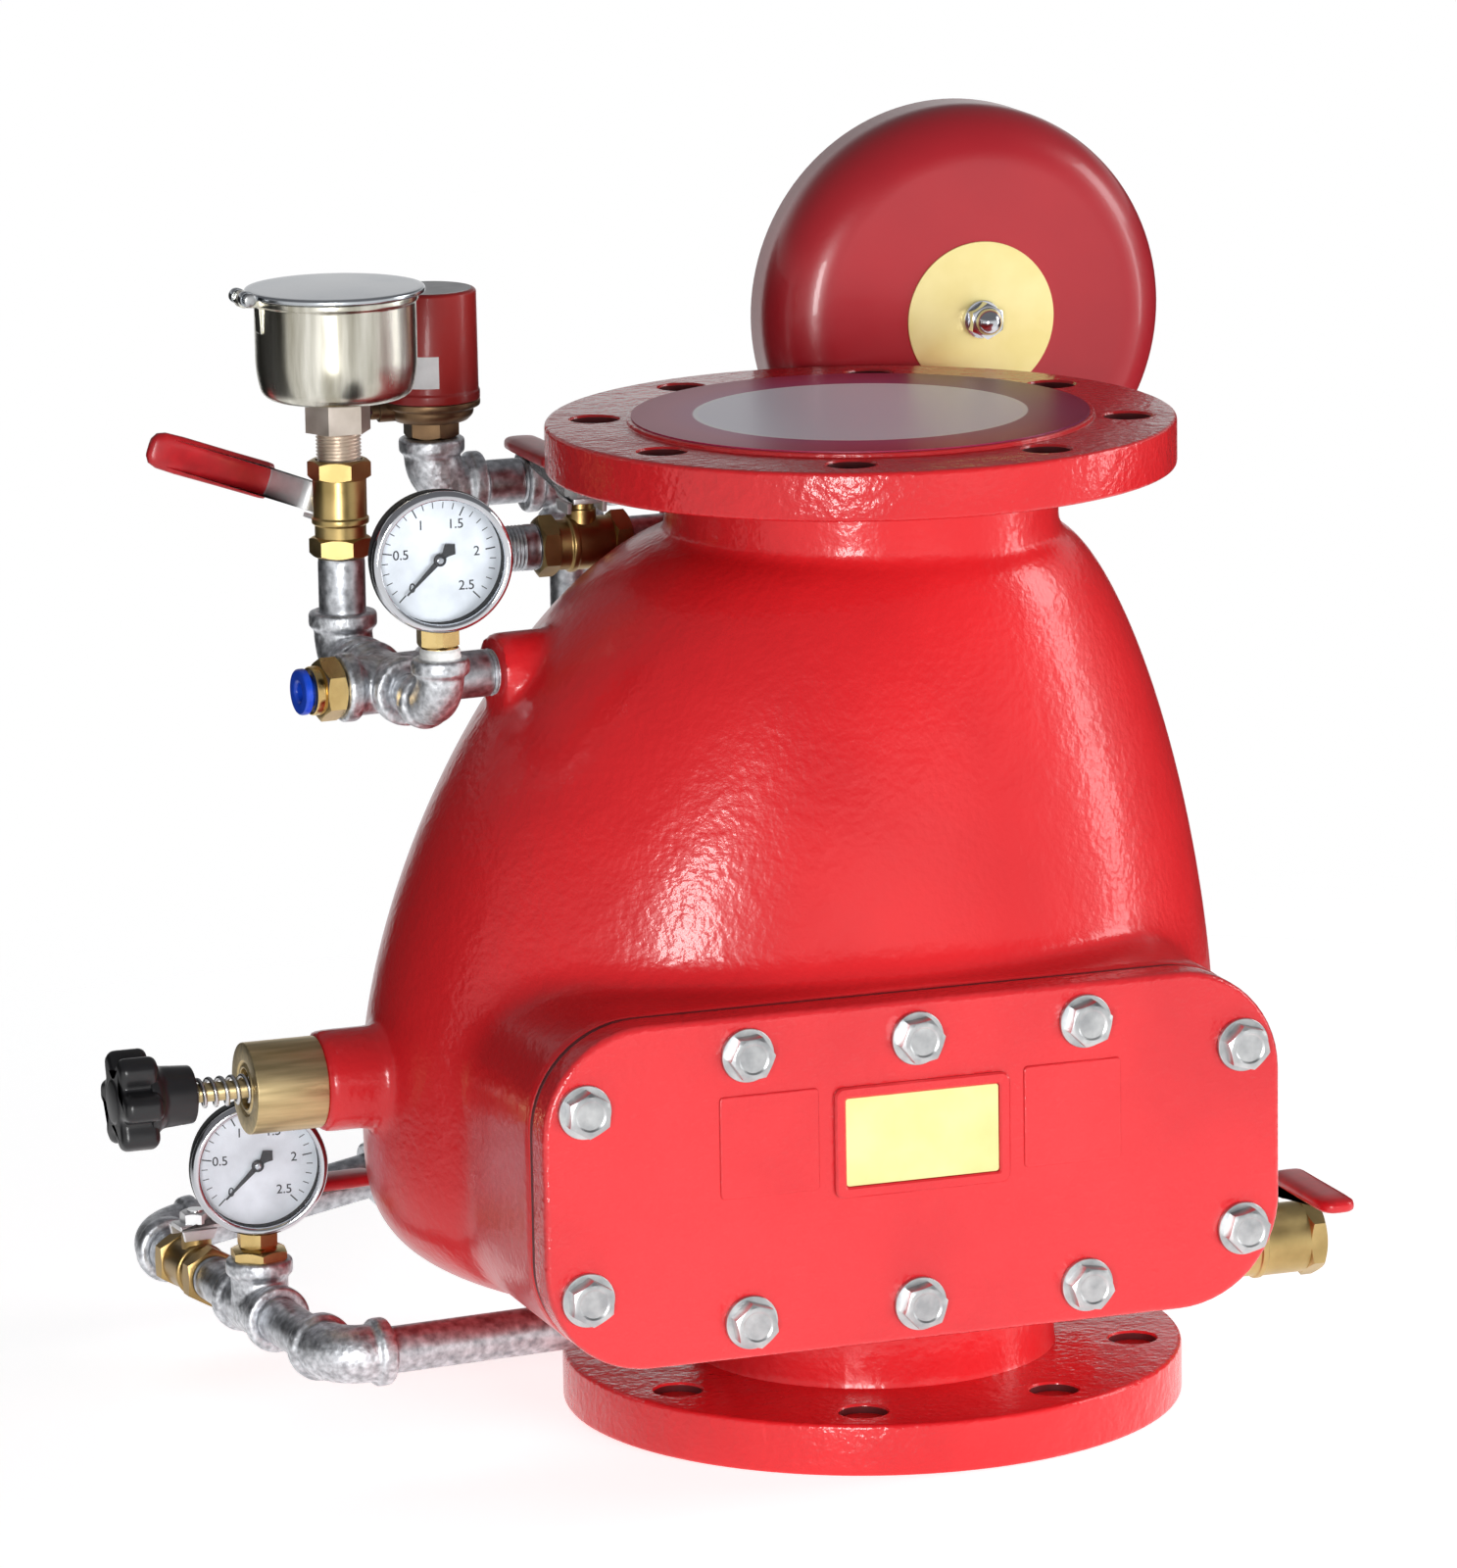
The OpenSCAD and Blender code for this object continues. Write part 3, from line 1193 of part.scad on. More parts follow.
module cup_lid() color([0.75, 0.78, 0.80]) fill_frame() difference() {
  union() {
    translate([0, 0, lid_z]) cylinder(r = lid_r, h = lid_t);
    for (y = [-1, 1])
      translate([lid_hinge_x, y * (knuckle_w / 2 + knuckle_gap + ear_w / 2) + ear_w / 2, lid_hinge_z])
        rotate([90, 0, 0]) {
          cylinder(d = knuckle_d, h = ear_w);
          translate([0, -lid_t / 2, 0]) cube([knuckle_d + lid_t, lid_t, ear_w]);
        }
  }
  translate([lid_hinge_x - knuckle_d, -knuckle_w / 2 - knuckle_gap, lid_z - lid_t])
    cube([2 * knuckle_d, knuckle_w + 2 * knuckle_gap, 3 * lid_t]);
  translate([lid_hinge_x, lid_pin_l, lid_hinge_z]) rotate([90, 0, 0])
    cylinder(d = lid_pin_d + 2 * run_clear, h = 2 * lid_pin_l);
}

module cup_lid_pin() color(zinc) fill_frame()
  translate([lid_hinge_x, lid_pin_l / 2, lid_hinge_z]) rotate([90, 0, 0]) {
    cylinder(d = lid_pin_d, h = lid_pin_l);
    translate([0, 0, lid_pin_l]) cylinder(d = lid_pin_head_d, h = lid_pin_head_l);
  }

// Pressure switch
module switch_base() color(bronze) translate([switch_x, alarm_y, 0]) {
  difference() {
    union() {
      translate([0, 0, alarm_z + fitting_reach - socket_l + overlap]) cylinder(d = pipe_d, h = socket_l);
      translate([0, 0, alarm_z + fitting_reach]) hexagon(switch_nut_af, switch_nut_h + overlap);
      translate([0, 0, switch_z]) cylinder(d = switch_base_d, h = switch_base_h);
      translate([0, 0, switch_z + switch_base_h - switch_plate_h])
        cylinder(d = switch_d, h = switch_plate_h);
      translate([-switch_base_d / 2 - switch_gland_l, 0, switch_z + switch_base_h / 2])
        toward_x() cylinder(d = switch_gland_d, h = switch_gland_l + switch_gland_d / 2);
    }
    translate([0, 0, alarm_z]) cylinder(d = pipe_bore_d / 2, h = fitting_reach + switch_nut_h);
  }
}

module switch_can() color(dark_red)
  translate([switch_x, alarm_y, switch_z + switch_base_h]) difference() {
    cylinder(d1 = switch_d, d2 = switch_top_d, h = switch_h);
    translate([0, 0, -overlap])
      cylinder(d = switch_top_d - 2 * switch_can_wall, h = switch_h - switch_can_wall + overlap);
  }

module wire_teal() color([0.10, 0.45, 0.45])
  translate(wire_exit) cord(teal_route, wire_d, wire_sides, [0, 1, 0]);
module wire_red() color(red_enamel)
  translate(wire_exit) cord(red_route, wire_d, wire_sides, [0, 1, 0]);
module wire_dark() color([0.25, 0.05, 0.06])
  translate(wire_exit) cord(dark_route, wire_d, wire_sides, [0, 1, 0]);

// Water motor gong: its axis lies along Y
module about_y(y) translate([0, y, 0]) toward_y() children();

// Half profile of the gong's outside or inside, rim at height zero and face at height h
module gong_profile(r, h, round) {
  square([r, h - round]);
  square([r - round, h]);
  translate([r - round, h - round]) intersection() {
    circle(round);
    square(round);
  }
}

module gong_shell() color(dark_red) gong_frame() translate([0, gong_rim_y, 0]) rotate([90, 0, 0])
  difference() {
    rotate_extrude() difference() {
      gong_profile(gong_r, gong_depth, gong_round);
      translate([0, -overlap])
        gong_profile(gong_r - gong_wall, gong_depth - gong_wall + overlap, gong_round - gong_wall);
    }
    cylinder(d = spindle_d + 2 * run_clear, h = gong_depth + overlap);
  }

module gong_plate() color([0.90, 0.80, 0.35])
  gong_frame() about_y(gong_face_y - gong_plate_t) difference() {
    cylinder(d = gong_plate_d, h = gong_plate_t);
    translate([0, 0, -overlap])
      cylinder(d = spindle_d + 2 * run_clear, h = gong_plate_t + 2 * overlap);
  }

module gong_nut() color(zinc) gong_frame() {
  about_y(gong_face_y - gong_plate_t - gong_washer_t) difference() {
    cylinder(d = gong_washer_d, h = gong_washer_t);
    translate([0, 0, -overlap]) cylinder(d = spindle_d + 2 * run_clear, h = gong_washer_t + 2 * overlap);
  }
  about_y(gong_face_y - gong_plate_t - gong_washer_t - gong_nut_h) difference() {
    union() {
      hexagon(gong_nut_af, gong_nut_h);
      sphere(d = gong_nut_af - 2 * overlap);
    }
    cylinder(d = spindle_d + 2 * run_clear, h = gong_nut_h + overlap);
  }
}

module motor_housing() color(dark_red) gong_frame() {
  difference() {
    union() {
      about_y(motor_front_y) cylinder(d = motor_d, h = motor_l);
      translate([0, alarm_y, motor_inlet_drop])
        cylinder(d = pipe_boss_d, h = -motor_inlet_drop - motor_d / 4);
    }
    about_y(motor_front_y + motor_wall)
      cylinder(d = motor_d - 2 * motor_wall, h = motor_l - 2 * motor_wall);
    about_y(motor_front_y - overlap) cylinder(d = sleeve_d + 2 * run_clear, h = motor_wall + 2 * overlap);
    translate([0, alarm_y, motor_inlet_drop - overlap])
      cylinder(d = pipe_d + 2 * run_clear, h = motor_wall + overlap);
    translate([0, alarm_y, motor_inlet_drop])
      cylinder(d = chamber_port_d, h = -motor_inlet_drop - impeller_d / 2);
  }
  about_y(gong_face_y - spindle_front_l)
    cylinder(d = spindle_d, h = spindle_front_l + motor_front_y + motor_l - overlap - gong_face_y);
  about_y(gong_face_y + gong_wall) cylinder(d = gong_shoulder_d, h = gong_shoulder_l);
}

module motor_rotor() color(zinc) gong_frame() difference() {
  union() {
    about_y(striker_y - striker_t - striker_lip)
      cylinder(d = sleeve_d, h = motor_front_y + motor_l - motor_wall - seat_clear - striker_y
        + striker_t + striker_lip);
    about_y(motor_front_y + motor_l / 2 - impeller_l / 2) {
      cylinder(d = impeller_d / 2, h = impeller_l);
      for (i = [0 : impeller_blades - 1])
        rotate([0, 0, (i + 0.5) * 360 / impeller_blades])
          translate([impeller_d / 4 - blade_root, -blade_t / 2, striker_lip])
            cube([impeller_d / 4 + blade_root, blade_t, impeller_l - 2 * striker_lip]);
    }
    translate([-striker_w / 2, striker_y - striker_t, -striker_l])
      cube([striker_w, striker_t, 2 * striker_l]);
    for (z = [-striker_l, striker_l])
      translate([0, 0, z]) about_y(striker_y - striker_t - striker_lip)
        cylinder(d = hammer_d, h = striker_t + hammer_d / 2);
  }
  about_y(gong_face_y) cylinder(d = spindle_d + 2 * run_clear, h = 2 * motor_front_y);
}

valve_body();
seat_ring();
pivot_pins();
clapper_disc();
clapper_facing();
clapper_clamp_plate();
latch_pawl();
cover_gasket();
handhole_cover();
cover_bolts();
cover_nameplate();
gland_nut();
knob_spring();
reset_stem();
star_knob();
port_film();
trim_pipes();
trim_elbows();
trim_tees();
gauge_sockets();
gauge_cases();
gauge_bezels();
gauge_dials();
gauge_windows();
air_gauge_needle();
supply_gauge_needle();
push_fitting();
push_collet();
fill_valve_body();
fill_valve_ball();
fill_valve_lever();
fill_valve_grip();
vent_valve_body();
vent_valve_ball();
vent_valve_lever();
vent_valve_grip();
test_valve_body();
test_valve_ball();
test_valve_lever();
test_valve_grip();
drain_valve_body();
drain_valve_ball();
drain_valve_lever();
drain_valve_grip();
fill_adapter();
fill_cup();
cup_lid();
cup_lid_pin();
switch_base();
switch_can();
wire_teal();
wire_red();
wire_dark();
gong_shell();
gong_plate();
gong_nut();
motor_housing();
motor_rotor();
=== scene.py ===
import json
import math

import bpy
import bmesh
from mathutils import Matrix, Vector


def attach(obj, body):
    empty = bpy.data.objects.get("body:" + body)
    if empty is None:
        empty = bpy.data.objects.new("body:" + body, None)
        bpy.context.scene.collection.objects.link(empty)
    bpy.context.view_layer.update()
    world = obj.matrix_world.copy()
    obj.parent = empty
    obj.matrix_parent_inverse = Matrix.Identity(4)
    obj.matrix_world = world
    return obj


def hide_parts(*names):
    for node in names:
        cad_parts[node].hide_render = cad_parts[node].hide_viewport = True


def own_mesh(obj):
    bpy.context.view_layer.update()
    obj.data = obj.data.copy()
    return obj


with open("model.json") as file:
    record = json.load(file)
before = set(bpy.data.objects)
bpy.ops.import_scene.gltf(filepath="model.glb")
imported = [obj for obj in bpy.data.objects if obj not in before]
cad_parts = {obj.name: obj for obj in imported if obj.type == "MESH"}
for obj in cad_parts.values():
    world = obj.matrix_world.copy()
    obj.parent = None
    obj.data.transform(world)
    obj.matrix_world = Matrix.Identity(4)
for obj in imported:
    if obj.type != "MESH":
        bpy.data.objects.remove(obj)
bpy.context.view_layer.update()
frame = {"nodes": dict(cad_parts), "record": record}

# Camera and studio
# The photograph's own viewpoint: a long lens low at the front left. A white sweep under a darker ceiling is lit by a
# tall softbox at the left, a fill from the right and two rim lamps; dark cards at the sides show in shiny faces only.
scene = bpy.context.scene
scene.view_settings.view_transform = "Standard"

azimuth, elevation, roll = math.radians(-20.51), math.radians(12.96), math.radians(-0.70)
eye = (-1.37248, -3.66814, 1.13160)
aim_aside, aim_above = -0.01556, 0.0133
back = Vector((math.sin(azimuth) * math.cos(elevation), -math.cos(azimuth) * math.cos(elevation), math.sin(elevation)))
level = Vector((math.cos(azimuth), math.sin(azimuth), 0))
upright = back.cross(level)
right = level * math.cos(roll) + upright * math.sin(roll)
up = -level * math.sin(roll) + upright * math.cos(roll)
aim = (-back + aim_aside * right + aim_above * up).normalized()
right = aim.cross(up).normalized()
up = right.cross(aim)
camera_data = bpy.data.cameras.new("camera")
camera_data.lens = 202.5
camera_data.sensor_width = 36
camera_data.clip_end = 50
camera = bpy.data.objects.new("camera", camera_data)
camera.matrix_world = Matrix([(right[k], up[k], -aim[k], eye[k]) for k in range(3)] + [(0, 0, 0, 1)])
scene.collection.objects.link(camera)
scene.camera = camera


def preset(node, values):
    for socket, value in values.items():
        node.inputs[socket].default_value = value


def added(tree, kind, values=None, operation=None):
    """A new node with the given values on its inputs."""
    node = tree.nodes.new(kind)
    if operation:
        node.operation = operation
    preset(node, values or {})
    return node


def joined(tree, *ways):
    """Links, each given as a node, its output, a node and its input."""
    for source, output, target, socket in ways:
        tree.links.new(source.outputs[output], target.inputs[socket])


def ramped(tree, stops):
    """A colour ramp through stops of (place, colour)."""
    node = tree.nodes.new("ShaderNodeValToRGB")
    ends = node.color_ramp.elements
    ends[0].position, ends[0].color = stops[0]
    ends[1].position, ends[1].color = stops[-1]
    for place, colour in stops[1:-1]:
        ends.new(place).color = colour
    return node


world = bpy.data.worlds.new("studio")
scene.world = world
world.use_nodes = True
tree = world.node_tree
tree.nodes.clear()
world_out = added(tree, "ShaderNodeOutputWorld")
lit = added(tree, "ShaderNodeBackground", {"Color": (0.93, 0.95, 1.0, 1), "Strength": 0.12})
seen = added(tree, "ShaderNodeBackground", {"Strength": 1.0})
where = added(tree, "ShaderNodeTexCoord")
height = added(tree, "ShaderNodeSeparateXYZ")
sky = ramped(tree, [(0.10, (1, 1, 1, 1)), (0.40, (0.22, 0.22, 0.23, 1))])
joined(tree, (where, "Generated", height, "Vector"), (height, "Z", sky, "Fac"), (sky, "Color", seen, "Color"))
ray = added(tree, "ShaderNodeLightPath")
shown = None
for kind in ("Is Camera Ray", "Is Glossy Ray", "Is Transmission Ray"):
    either = added(tree, "ShaderNodeMath", {1: 0})
    either.use_clamp = True
    joined(tree, (ray, kind, either, 0))
    if shown:
        joined(tree, (shown, "Value", either, 1))
    shown = either
pick = added(tree, "ShaderNodeMixShader")
joined(tree, (shown, "Value", pick, "Fac"), (lit, "Background", pick, 1), (seen, "Background", pick, 2),
       (pick, "Shader", world_out, "Surface"))


def coated(name):
    """A new material, its node tree and its shader."""
    m = bpy.data.materials.new(name)
    m.use_nodes = True
    return m, m.node_tree, m.node_tree.nodes["Principled BSDF"]


FLOOR_HALF, FLOOR_Z = 3, -0.0008
floor_mesh = bpy.data.meshes.new("floor")
floor_mesh.from_pydata([(x * FLOOR_HALF, y * FLOOR_HALF, FLOOR_Z) for x, y in ((-1, -1), (1, -1), (1, 1), (-1, 1))],
                       [], [(0, 1, 2, 3)])
floor = bpy.data.objects.new("floor", floor_mesh)
scene.collection.objects.link(floor)
floor_white, tree, shader = coated("floor_white")
preset(shader, {"Base Color": (0.90, 0.90, 0.90, 1), "Roughness": 0.8, "Specular IOR Level": 0.1,
                "Emission Color": (1, 1, 1, 1), "Emission Strength": 0.70})
where = added(tree, "ShaderNodeTexCoord")
far = added(tree, "ShaderNodeVectorMath", operation="LENGTH")
fade = added(tree, "ShaderNodeMapRange", {"From Min": 0.45, "From Max": 1.1})
clear = added(tree, "ShaderNodeBsdfTransparent")
mix = added(tree, "ShaderNodeMixShader")
joined(tree, (where, "Object", far, 0), (far, "Value", fade, "Value"), (fade, "Result", mix, "Fac"),
       (shader, "BSDF", mix, 1), (clear, "BSDF", mix, 2), (mix, "Shader", tree.nodes["Material Output"], "Surface"))
floor_mesh.materials.append(floor_white)


def softbox(name, place, target, size, watts, mirrored=True):
    light = bpy.data.lights.new(name, "AREA")
    light.shape = "RECTANGLE"
    light.size, light.size_y = size
    light.energy = watts
    lamp = bpy.data.objects.new(name, light)
    lamp.location = place
    lamp.rotation_euler = (Vector(target) - Vector(place)).to_track_quat("-Z", "Y").to_euler()
    lamp.visible_glossy = mirrored
    scene.collection.objects.link(lamp)


softbox("key", (-1.35, -2.6, 0.50), (-0.05, 0, 0.22), (0.5, 1.0), 44)
softbox("fill", (0.95, -2.8, 0.36), (0, 0, 0.22), (1.7, 0.9), 66, False)
softbox("right_strip", (1.7, -0.3, 0.7), (0.05, 0, 0.25), (0.5, 1.3), 14)
softbox("rear", (-0.6, 1.9, 1.6), (-0.05, 0.1, 0.35), (1.6, 0.8), 5, False)

CARD_LOW, CARD_TOP = -0.7, 0.75
card_black, _, shader = coated("card_black")
preset(shader, {"Base Color": (0.03, 0.03, 0.03, 1), "Roughness": 0.9})
for card_name, card_line in (("card_left", [(-1.55, 0.1), (-0.95, 1.35), (-0.40, 1.90)]),
                             ("card_right", [(1.55, -0.3), (1.60, 0.8), (1.15, 1.9)])):
    card_mesh = bpy.data.meshes.new(card_name)
    card_mesh.from_pydata([(x, y, z) for x, y in card_line for z in (CARD_LOW, CARD_TOP)], [],
                          [(0, 2, 3, 1), (2, 4, 5, 3)])
    card_mesh.materials.append(card_black)
    card = bpy.data.objects.new(card_name, card_mesh)
    card.visible_camera = card.visible_shadow = card.visible_diffuse = False
    scene.collection.objects.link(card)

# Wires of the pressure switch
# Three thin stranded wires in plastic insulation, brought out of the switch's cable gland and left hanging.
# Each is cut off square.
MM = 0.001


def insulation(name, colour):
    m, tree, shader = coated(name)
    preset(shader, {"Base Color": (*colour, 1), "Roughness": 0.38})
    fine = added(tree, "ShaderNodeTexNoise", {"Scale": 900})
    bump = added(tree, "ShaderNodeBump", {"Strength": 0.15, "Distance": 0.0002})
    joined(tree, (fine, "Fac", bump, "Height"), (bump, "Normal", shader, "Normal"))
    return m


wire_routes = {
    "wire_teal": ("teal_insulation", (0.02, 0.17, 0.19), [
        (-168, 206, 437), (-174, 206, 437), (-179, 206, 434), (-182, 207, 429), (-184, 208, 423), (-185, 209, 416),
        (-186, 209, 409), (-187, 209, 402), (-187, 208, 395)]),
    "wire_red": ("red_insulation", (0.50, 0.02, 0.03), [
        (-168, 203, 440), (-173, 203, 440), (-177, 202, 437), (-179, 201, 432), (-180, 200, 426), (-180, 199, 419),
        (-180, 198, 412), (-179, 198, 405), (-178, 198, 398), (-177, 198, 391)]),
    "wire_dark": ("dark_insulation", (0.05, 0.01, 0.02), [
        (-168, 200, 437), (-174, 199, 437), (-180, 197, 434), (-184, 195, 429), (-187, 193, 423), (-188, 192, 416),
        (-188, 191, 409), (-186, 190, 402), (-183, 189, 395), (-180, 188, 388), (-177, 188, 381)]),
}
for wire_name, (wire_slot, wire_colour, wire_points) in wire_routes.items():
    wire_path = [Vector(p) * MM for p in wire_points]
    wire_data = bpy.data.curves.new(wire_name + "_cord", "CURVE")
    wire_data.dimensions = "3D"
    wire_data.bevel_depth = 0.001
    wire_data.bevel_resolution = 3
    wire_data.use_fill_caps = True
    line = wire_data.splines.new("POLY")
    line.points.add(len(wire_path) - 1)
    for p, q in zip(line.points, wire_path):
        p.co = (*q, 1)
    wire = bpy.data.objects.new(wire_name + "_cord", wire_data)
    wire_data.materials.append(insulation(wire_slot, wire_colour))
    scene.collection.objects.link(wire)
    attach(wire, "valve")
    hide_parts(wire_name)

# Bell casting
# One grey-iron casting: oval bell, both necks, hand-hole box and pipe bosses, dressed by hand and sprayed with thick
# glossy red enamel. The flanges and the box face are machined before painting, so their edges are crisper.
BULB_HALF_W, BULB_HALF_D, BULB_SHIFT = 200, 138, 37.5
BULB_LOW, BULB_HIGH = 140, 165
BORE_R, FLANGE_R, FLANGE_T, OUTLET_Z = 75, 142.5, 24, 432
RAISED_R, RAISED_T = 105.5, 2
BOLT_CIRCLE_R, HOLE_R = 120, 11
BOX_Y = -149


def noise_mix(tree, where, scale, low, high, detail=4.0):
    """A noise between two colours, and the noise itself."""
    tex = added(tree, "ShaderNodeTexNoise", {"Scale": scale, "Detail": detail})
    tree.links.new(where, tex.inputs["Vector"])
    ramp = ramped(tree, [(0.32, (*low, 1)), (0.68, (*high, 1))])
    joined(tree, (tex, "Fac", ramp, "Fac"))
    return ramp.outputs["Color"], tex.outputs["Fac"]


def bumped(tree, shader, layers):
    """Chain of bump nodes: (height socket, strength, distance in metres)."""
    normal = None
    for height, strength, distance in layers:
        bump = added(tree, "ShaderNodeBump", {"Strength": strength, "Distance": distance})
        tree.links.new(height, bump.inputs["Height"])
        if normal:
            tree.links.new(normal, bump.inputs["Normal"])
        normal = bump.outputs["Normal"]
    tree.links.new(normal, shader.inputs["Normal"])
    return normal


def placed(tree):
    return tree.nodes.new("ShaderNodeTexCoord").outputs["Object"]


def enamel(name, low, high, roughness, peel, cast, coat=0.22, gloss=0.36):
    m, tree, shader = coated(name)
    where = placed(tree)
    colour, _ = noise_mix(tree, where, 9, low, high)
    tree.links.new(colour, shader.inputs["Base Color"])
    preset(shader, {"Roughness": roughness, "Specular IOR Level": gloss, "Coat Weight": coat, "Coat Roughness": 0.06})
    _, fine = noise_mix(tree, where, 300, low, high, 2.0)
    _, broad = noise_mix(tree, where, 85, low, high, 2.0)
    _, sweep = noise_mix(tree, where, 14, low, high, 1.0)
    normal = bumped(tree, shader, [(sweep, cast, 0.0022), (broad, cast, 0.0013), (fine, peel, 0.0007)])
    tree.links.new(normal, shader.inputs["Coat Normal"])
    return m


red_paint = enamel("red_enamel_cast", (0.50, 0.009, 0.013), (0.61, 0.015, 0.019), 0.28, 0.38, 0.30)
red_flange_paint = enamel("red_enamel_flange", (0.50, 0.010, 0.014), (0.62, 0.018, 0.022), 0.25, 0.70, 0.60, 0.25)


def spot(x, y, z):
    return Vector((x, y, z)) * MM


def moved(x, y, z):
    return Matrix.Translation(spot(x, y, z))


def spun(degrees, axis):
    return Matrix.Rotation(math.radians(degrees), 4, axis)


def polar(r, w):
    return r * math.cos(w), r * math.sin(w)


def lathe(profile, place, segments, ease=0, steps=3):
    """Turns a profile of (radius, height) in mm about the local Z axis, with its corners eased by a radius."""
    verts, rows = [], []
    for r, h in eased(profile, ease, steps) if ease else profile:
        if r < 1e-6:
            rows.append([len(verts)] * segments)
            verts.append(place @ spot(0, 0, h))
        else:
            rows.append(list(range(len(verts), len(verts) + segments)))
            verts += [place @ spot(*polar(r, 2 * math.pi * i / segments), h) for i in range(segments)]
    faces = []
    for a, b in zip(rows, rows[1:]):
        for i in range(segments):
            j = (i + 1) % segments
            face = tuple(dict.fromkeys((a[i], a[j], b[j], b[i])))
            if len(face) > 2:
                faces.append(face)
    return verts, faces


def eased(points, radius, steps=3, closed=False):
    """The same outline with its corners rounded; a corner may give its own radius as a third number."""
    out = []
    n = len(points)
    for i, p in enumerate(points):
        if not closed and i in (0, n - 1):
            out.append((p[0], p[1]))
            continue
        a, b, c = Vector(points[i - 1][:2]), Vector(p[:2]), Vector(points[(i + 1) % n][:2])
        r = p[2] if len(p) > 2 else radius
        into, out_of = (a - b), (c - b)
        reach = min(r, into.length * 0.49, out_of.length * 0.49)
        if reach < 1e-5:
            out.append((b.x, b.y))
            continue
        s, e = b + into.normalized() * reach, b + out_of.normalized() * reach
        for k in range(steps + 1):
            t = k / steps
            q = s * (1 - t) ** 2 + b * 2 * t * (1 - t) + e * t ** 2
            out.append((q.x, q.y))
    return out


def banded(rows, n):
    """The faces of a tube of rows of n points, with both ends capped."""
    faces = [(k * n + i, k * n + (i + 1) % n, (k + 1) * n + (i + 1) % n, (k + 1) * n + i)
             for k in range(rows - 1) for i in range(n)]
    return faces + [tuple(range(n))[::-1], tuple((rows - 1) * n + i for i in range(n))]


def prism(outline, depth, place=Matrix(), edge=0.0, steps=3):
    """A plate with the given outline in local XY, from z = 0 to depth, with rounded rims of the given radius in mm."""
    levels = [(0.0, 0.0), (0.0, depth)]
    if edge > 0:
        quarter = [math.pi / 2 * k / steps for k in range(steps + 1)]
        levels = [(edge * 1.4, 0.0)] + [(edge * (1 - math.sin(w)), edge * (1 - math.cos(w))) for w in quarter]
        levels += [(inset, depth - h) for inset, h in reversed(levels)]
    n = len(outline)
    normals = []
    for i in range(n):
        a, b, c = Vector(outline[i - 1]), Vector(outline[i]), Vector(outline[(i + 1) % n])
        d = ((b - a).normalized() + (c - b).normalized())
        d = Vector((d.y, -d.x))
        normals.append(d.normalized() if d.length > 1e-9 else Vector((0, 0)))
    area = sum(outline[i - 1][0] * outline[i][1] - outline[i][0] * outline[i - 1][1] for i in range(n))
    turn = 1 if area > 0 else -1
    verts = [place @ spot(p[0] - turn * m.x * inset, p[1] - turn * m.y * inset, h)
             for inset, h in levels for p, m in zip(outline, normals)]
    return verts, [face[::turn] for face in banded(len(levels), n)]


def merged(*parts):
    verts, faces = [], []
    for v, f in parts:
        base = len(verts)
        verts += v
        faces += [tuple(base + i for i in face) for face in f]
    return verts, faces


def raw_mesh(name, part):
    mesh = bpy.data.meshes.new(name)
    mesh.from_pydata(part[0], [], part[1])
    mesh.update()
    return mesh


def loose(name, data):
    obj = bpy.data.objects.new(name, data)
    scene.collection.objects.link(obj)
    return obj


def dropped(obj):
    data = obj.data
    kept_in = bpy.data.meshes if obj.type == "MESH" else bpy.data.curves
    bpy.data.objects.remove(obj)
    kept_in.remove(data)


def as_part(obj, place=Matrix()):
    """The object's shape with its modifiers applied, as points and faces; the object itself goes."""
    mesh = bpy.data.meshes.new_from_object(obj.evaluated_get(bpy.context.evaluated_depsgraph_get()))
    part = [place @ v.co for v in mesh.vertices], [tuple(p.vertices) for p in mesh.polygons]
    bpy.data.meshes.remove(mesh)
    dropped(obj)
    return part


def fused(part, voxel, passes):
    """Overlapping closed shapes run together into one skin with soft fillets, as a casting's are."""
    obj = loose("fusing", raw_mesh("fusing", part))
    remesh = obj.modifiers.new("remesh", "REMESH")
    remesh.mode = "VOXEL"
    remesh.voxel_size = voxel * MM
    smooth = obj.modifiers.new("smooth", "SMOOTH")
    smooth.factor = 0.5
    smooth.iterations = passes
    return as_part(obj)


def carved(part, cutter):
    """part with the closed shape cutter taken away."""
    obj = loose("carving", raw_mesh("carving", part))
    tool = loose("cutter", raw_mesh("cutter", cutter))
    cut = obj.modifiers.new("cut", "BOOLEAN")
    cut.operation = "DIFFERENCE"
    cut.solver = "EXACT"
    cut.object = tool
    part = as_part(obj)
    dropped(tool)
    return part


def piece(name, part, material, slot, stands_for=(), sharp=32, body="valve"):
    """A shown piece of the object, shaded smooth but for edges sharper than the given angle."""
    mesh = raw_mesh(name, part)
    bm = bmesh.new()
    bm.from_mesh(mesh)
    bmesh.ops.remove_doubles(bm, verts=bm.verts, dist=1e-7)
    bmesh.ops.recalc_face_normals(bm, faces=bm.faces)
    bm.to_mesh(mesh)
    bm.free()
    mesh.polygons.foreach_set("use_smooth", [True] * len(mesh.polygons))
    mesh.set_sharp_from_angle(angle=math.radians(sharp))
    mesh.materials.append(material)
    obj = loose(name, mesh)
    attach(obj, body)
    if stands_for:
        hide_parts(*stands_for)
    return obj


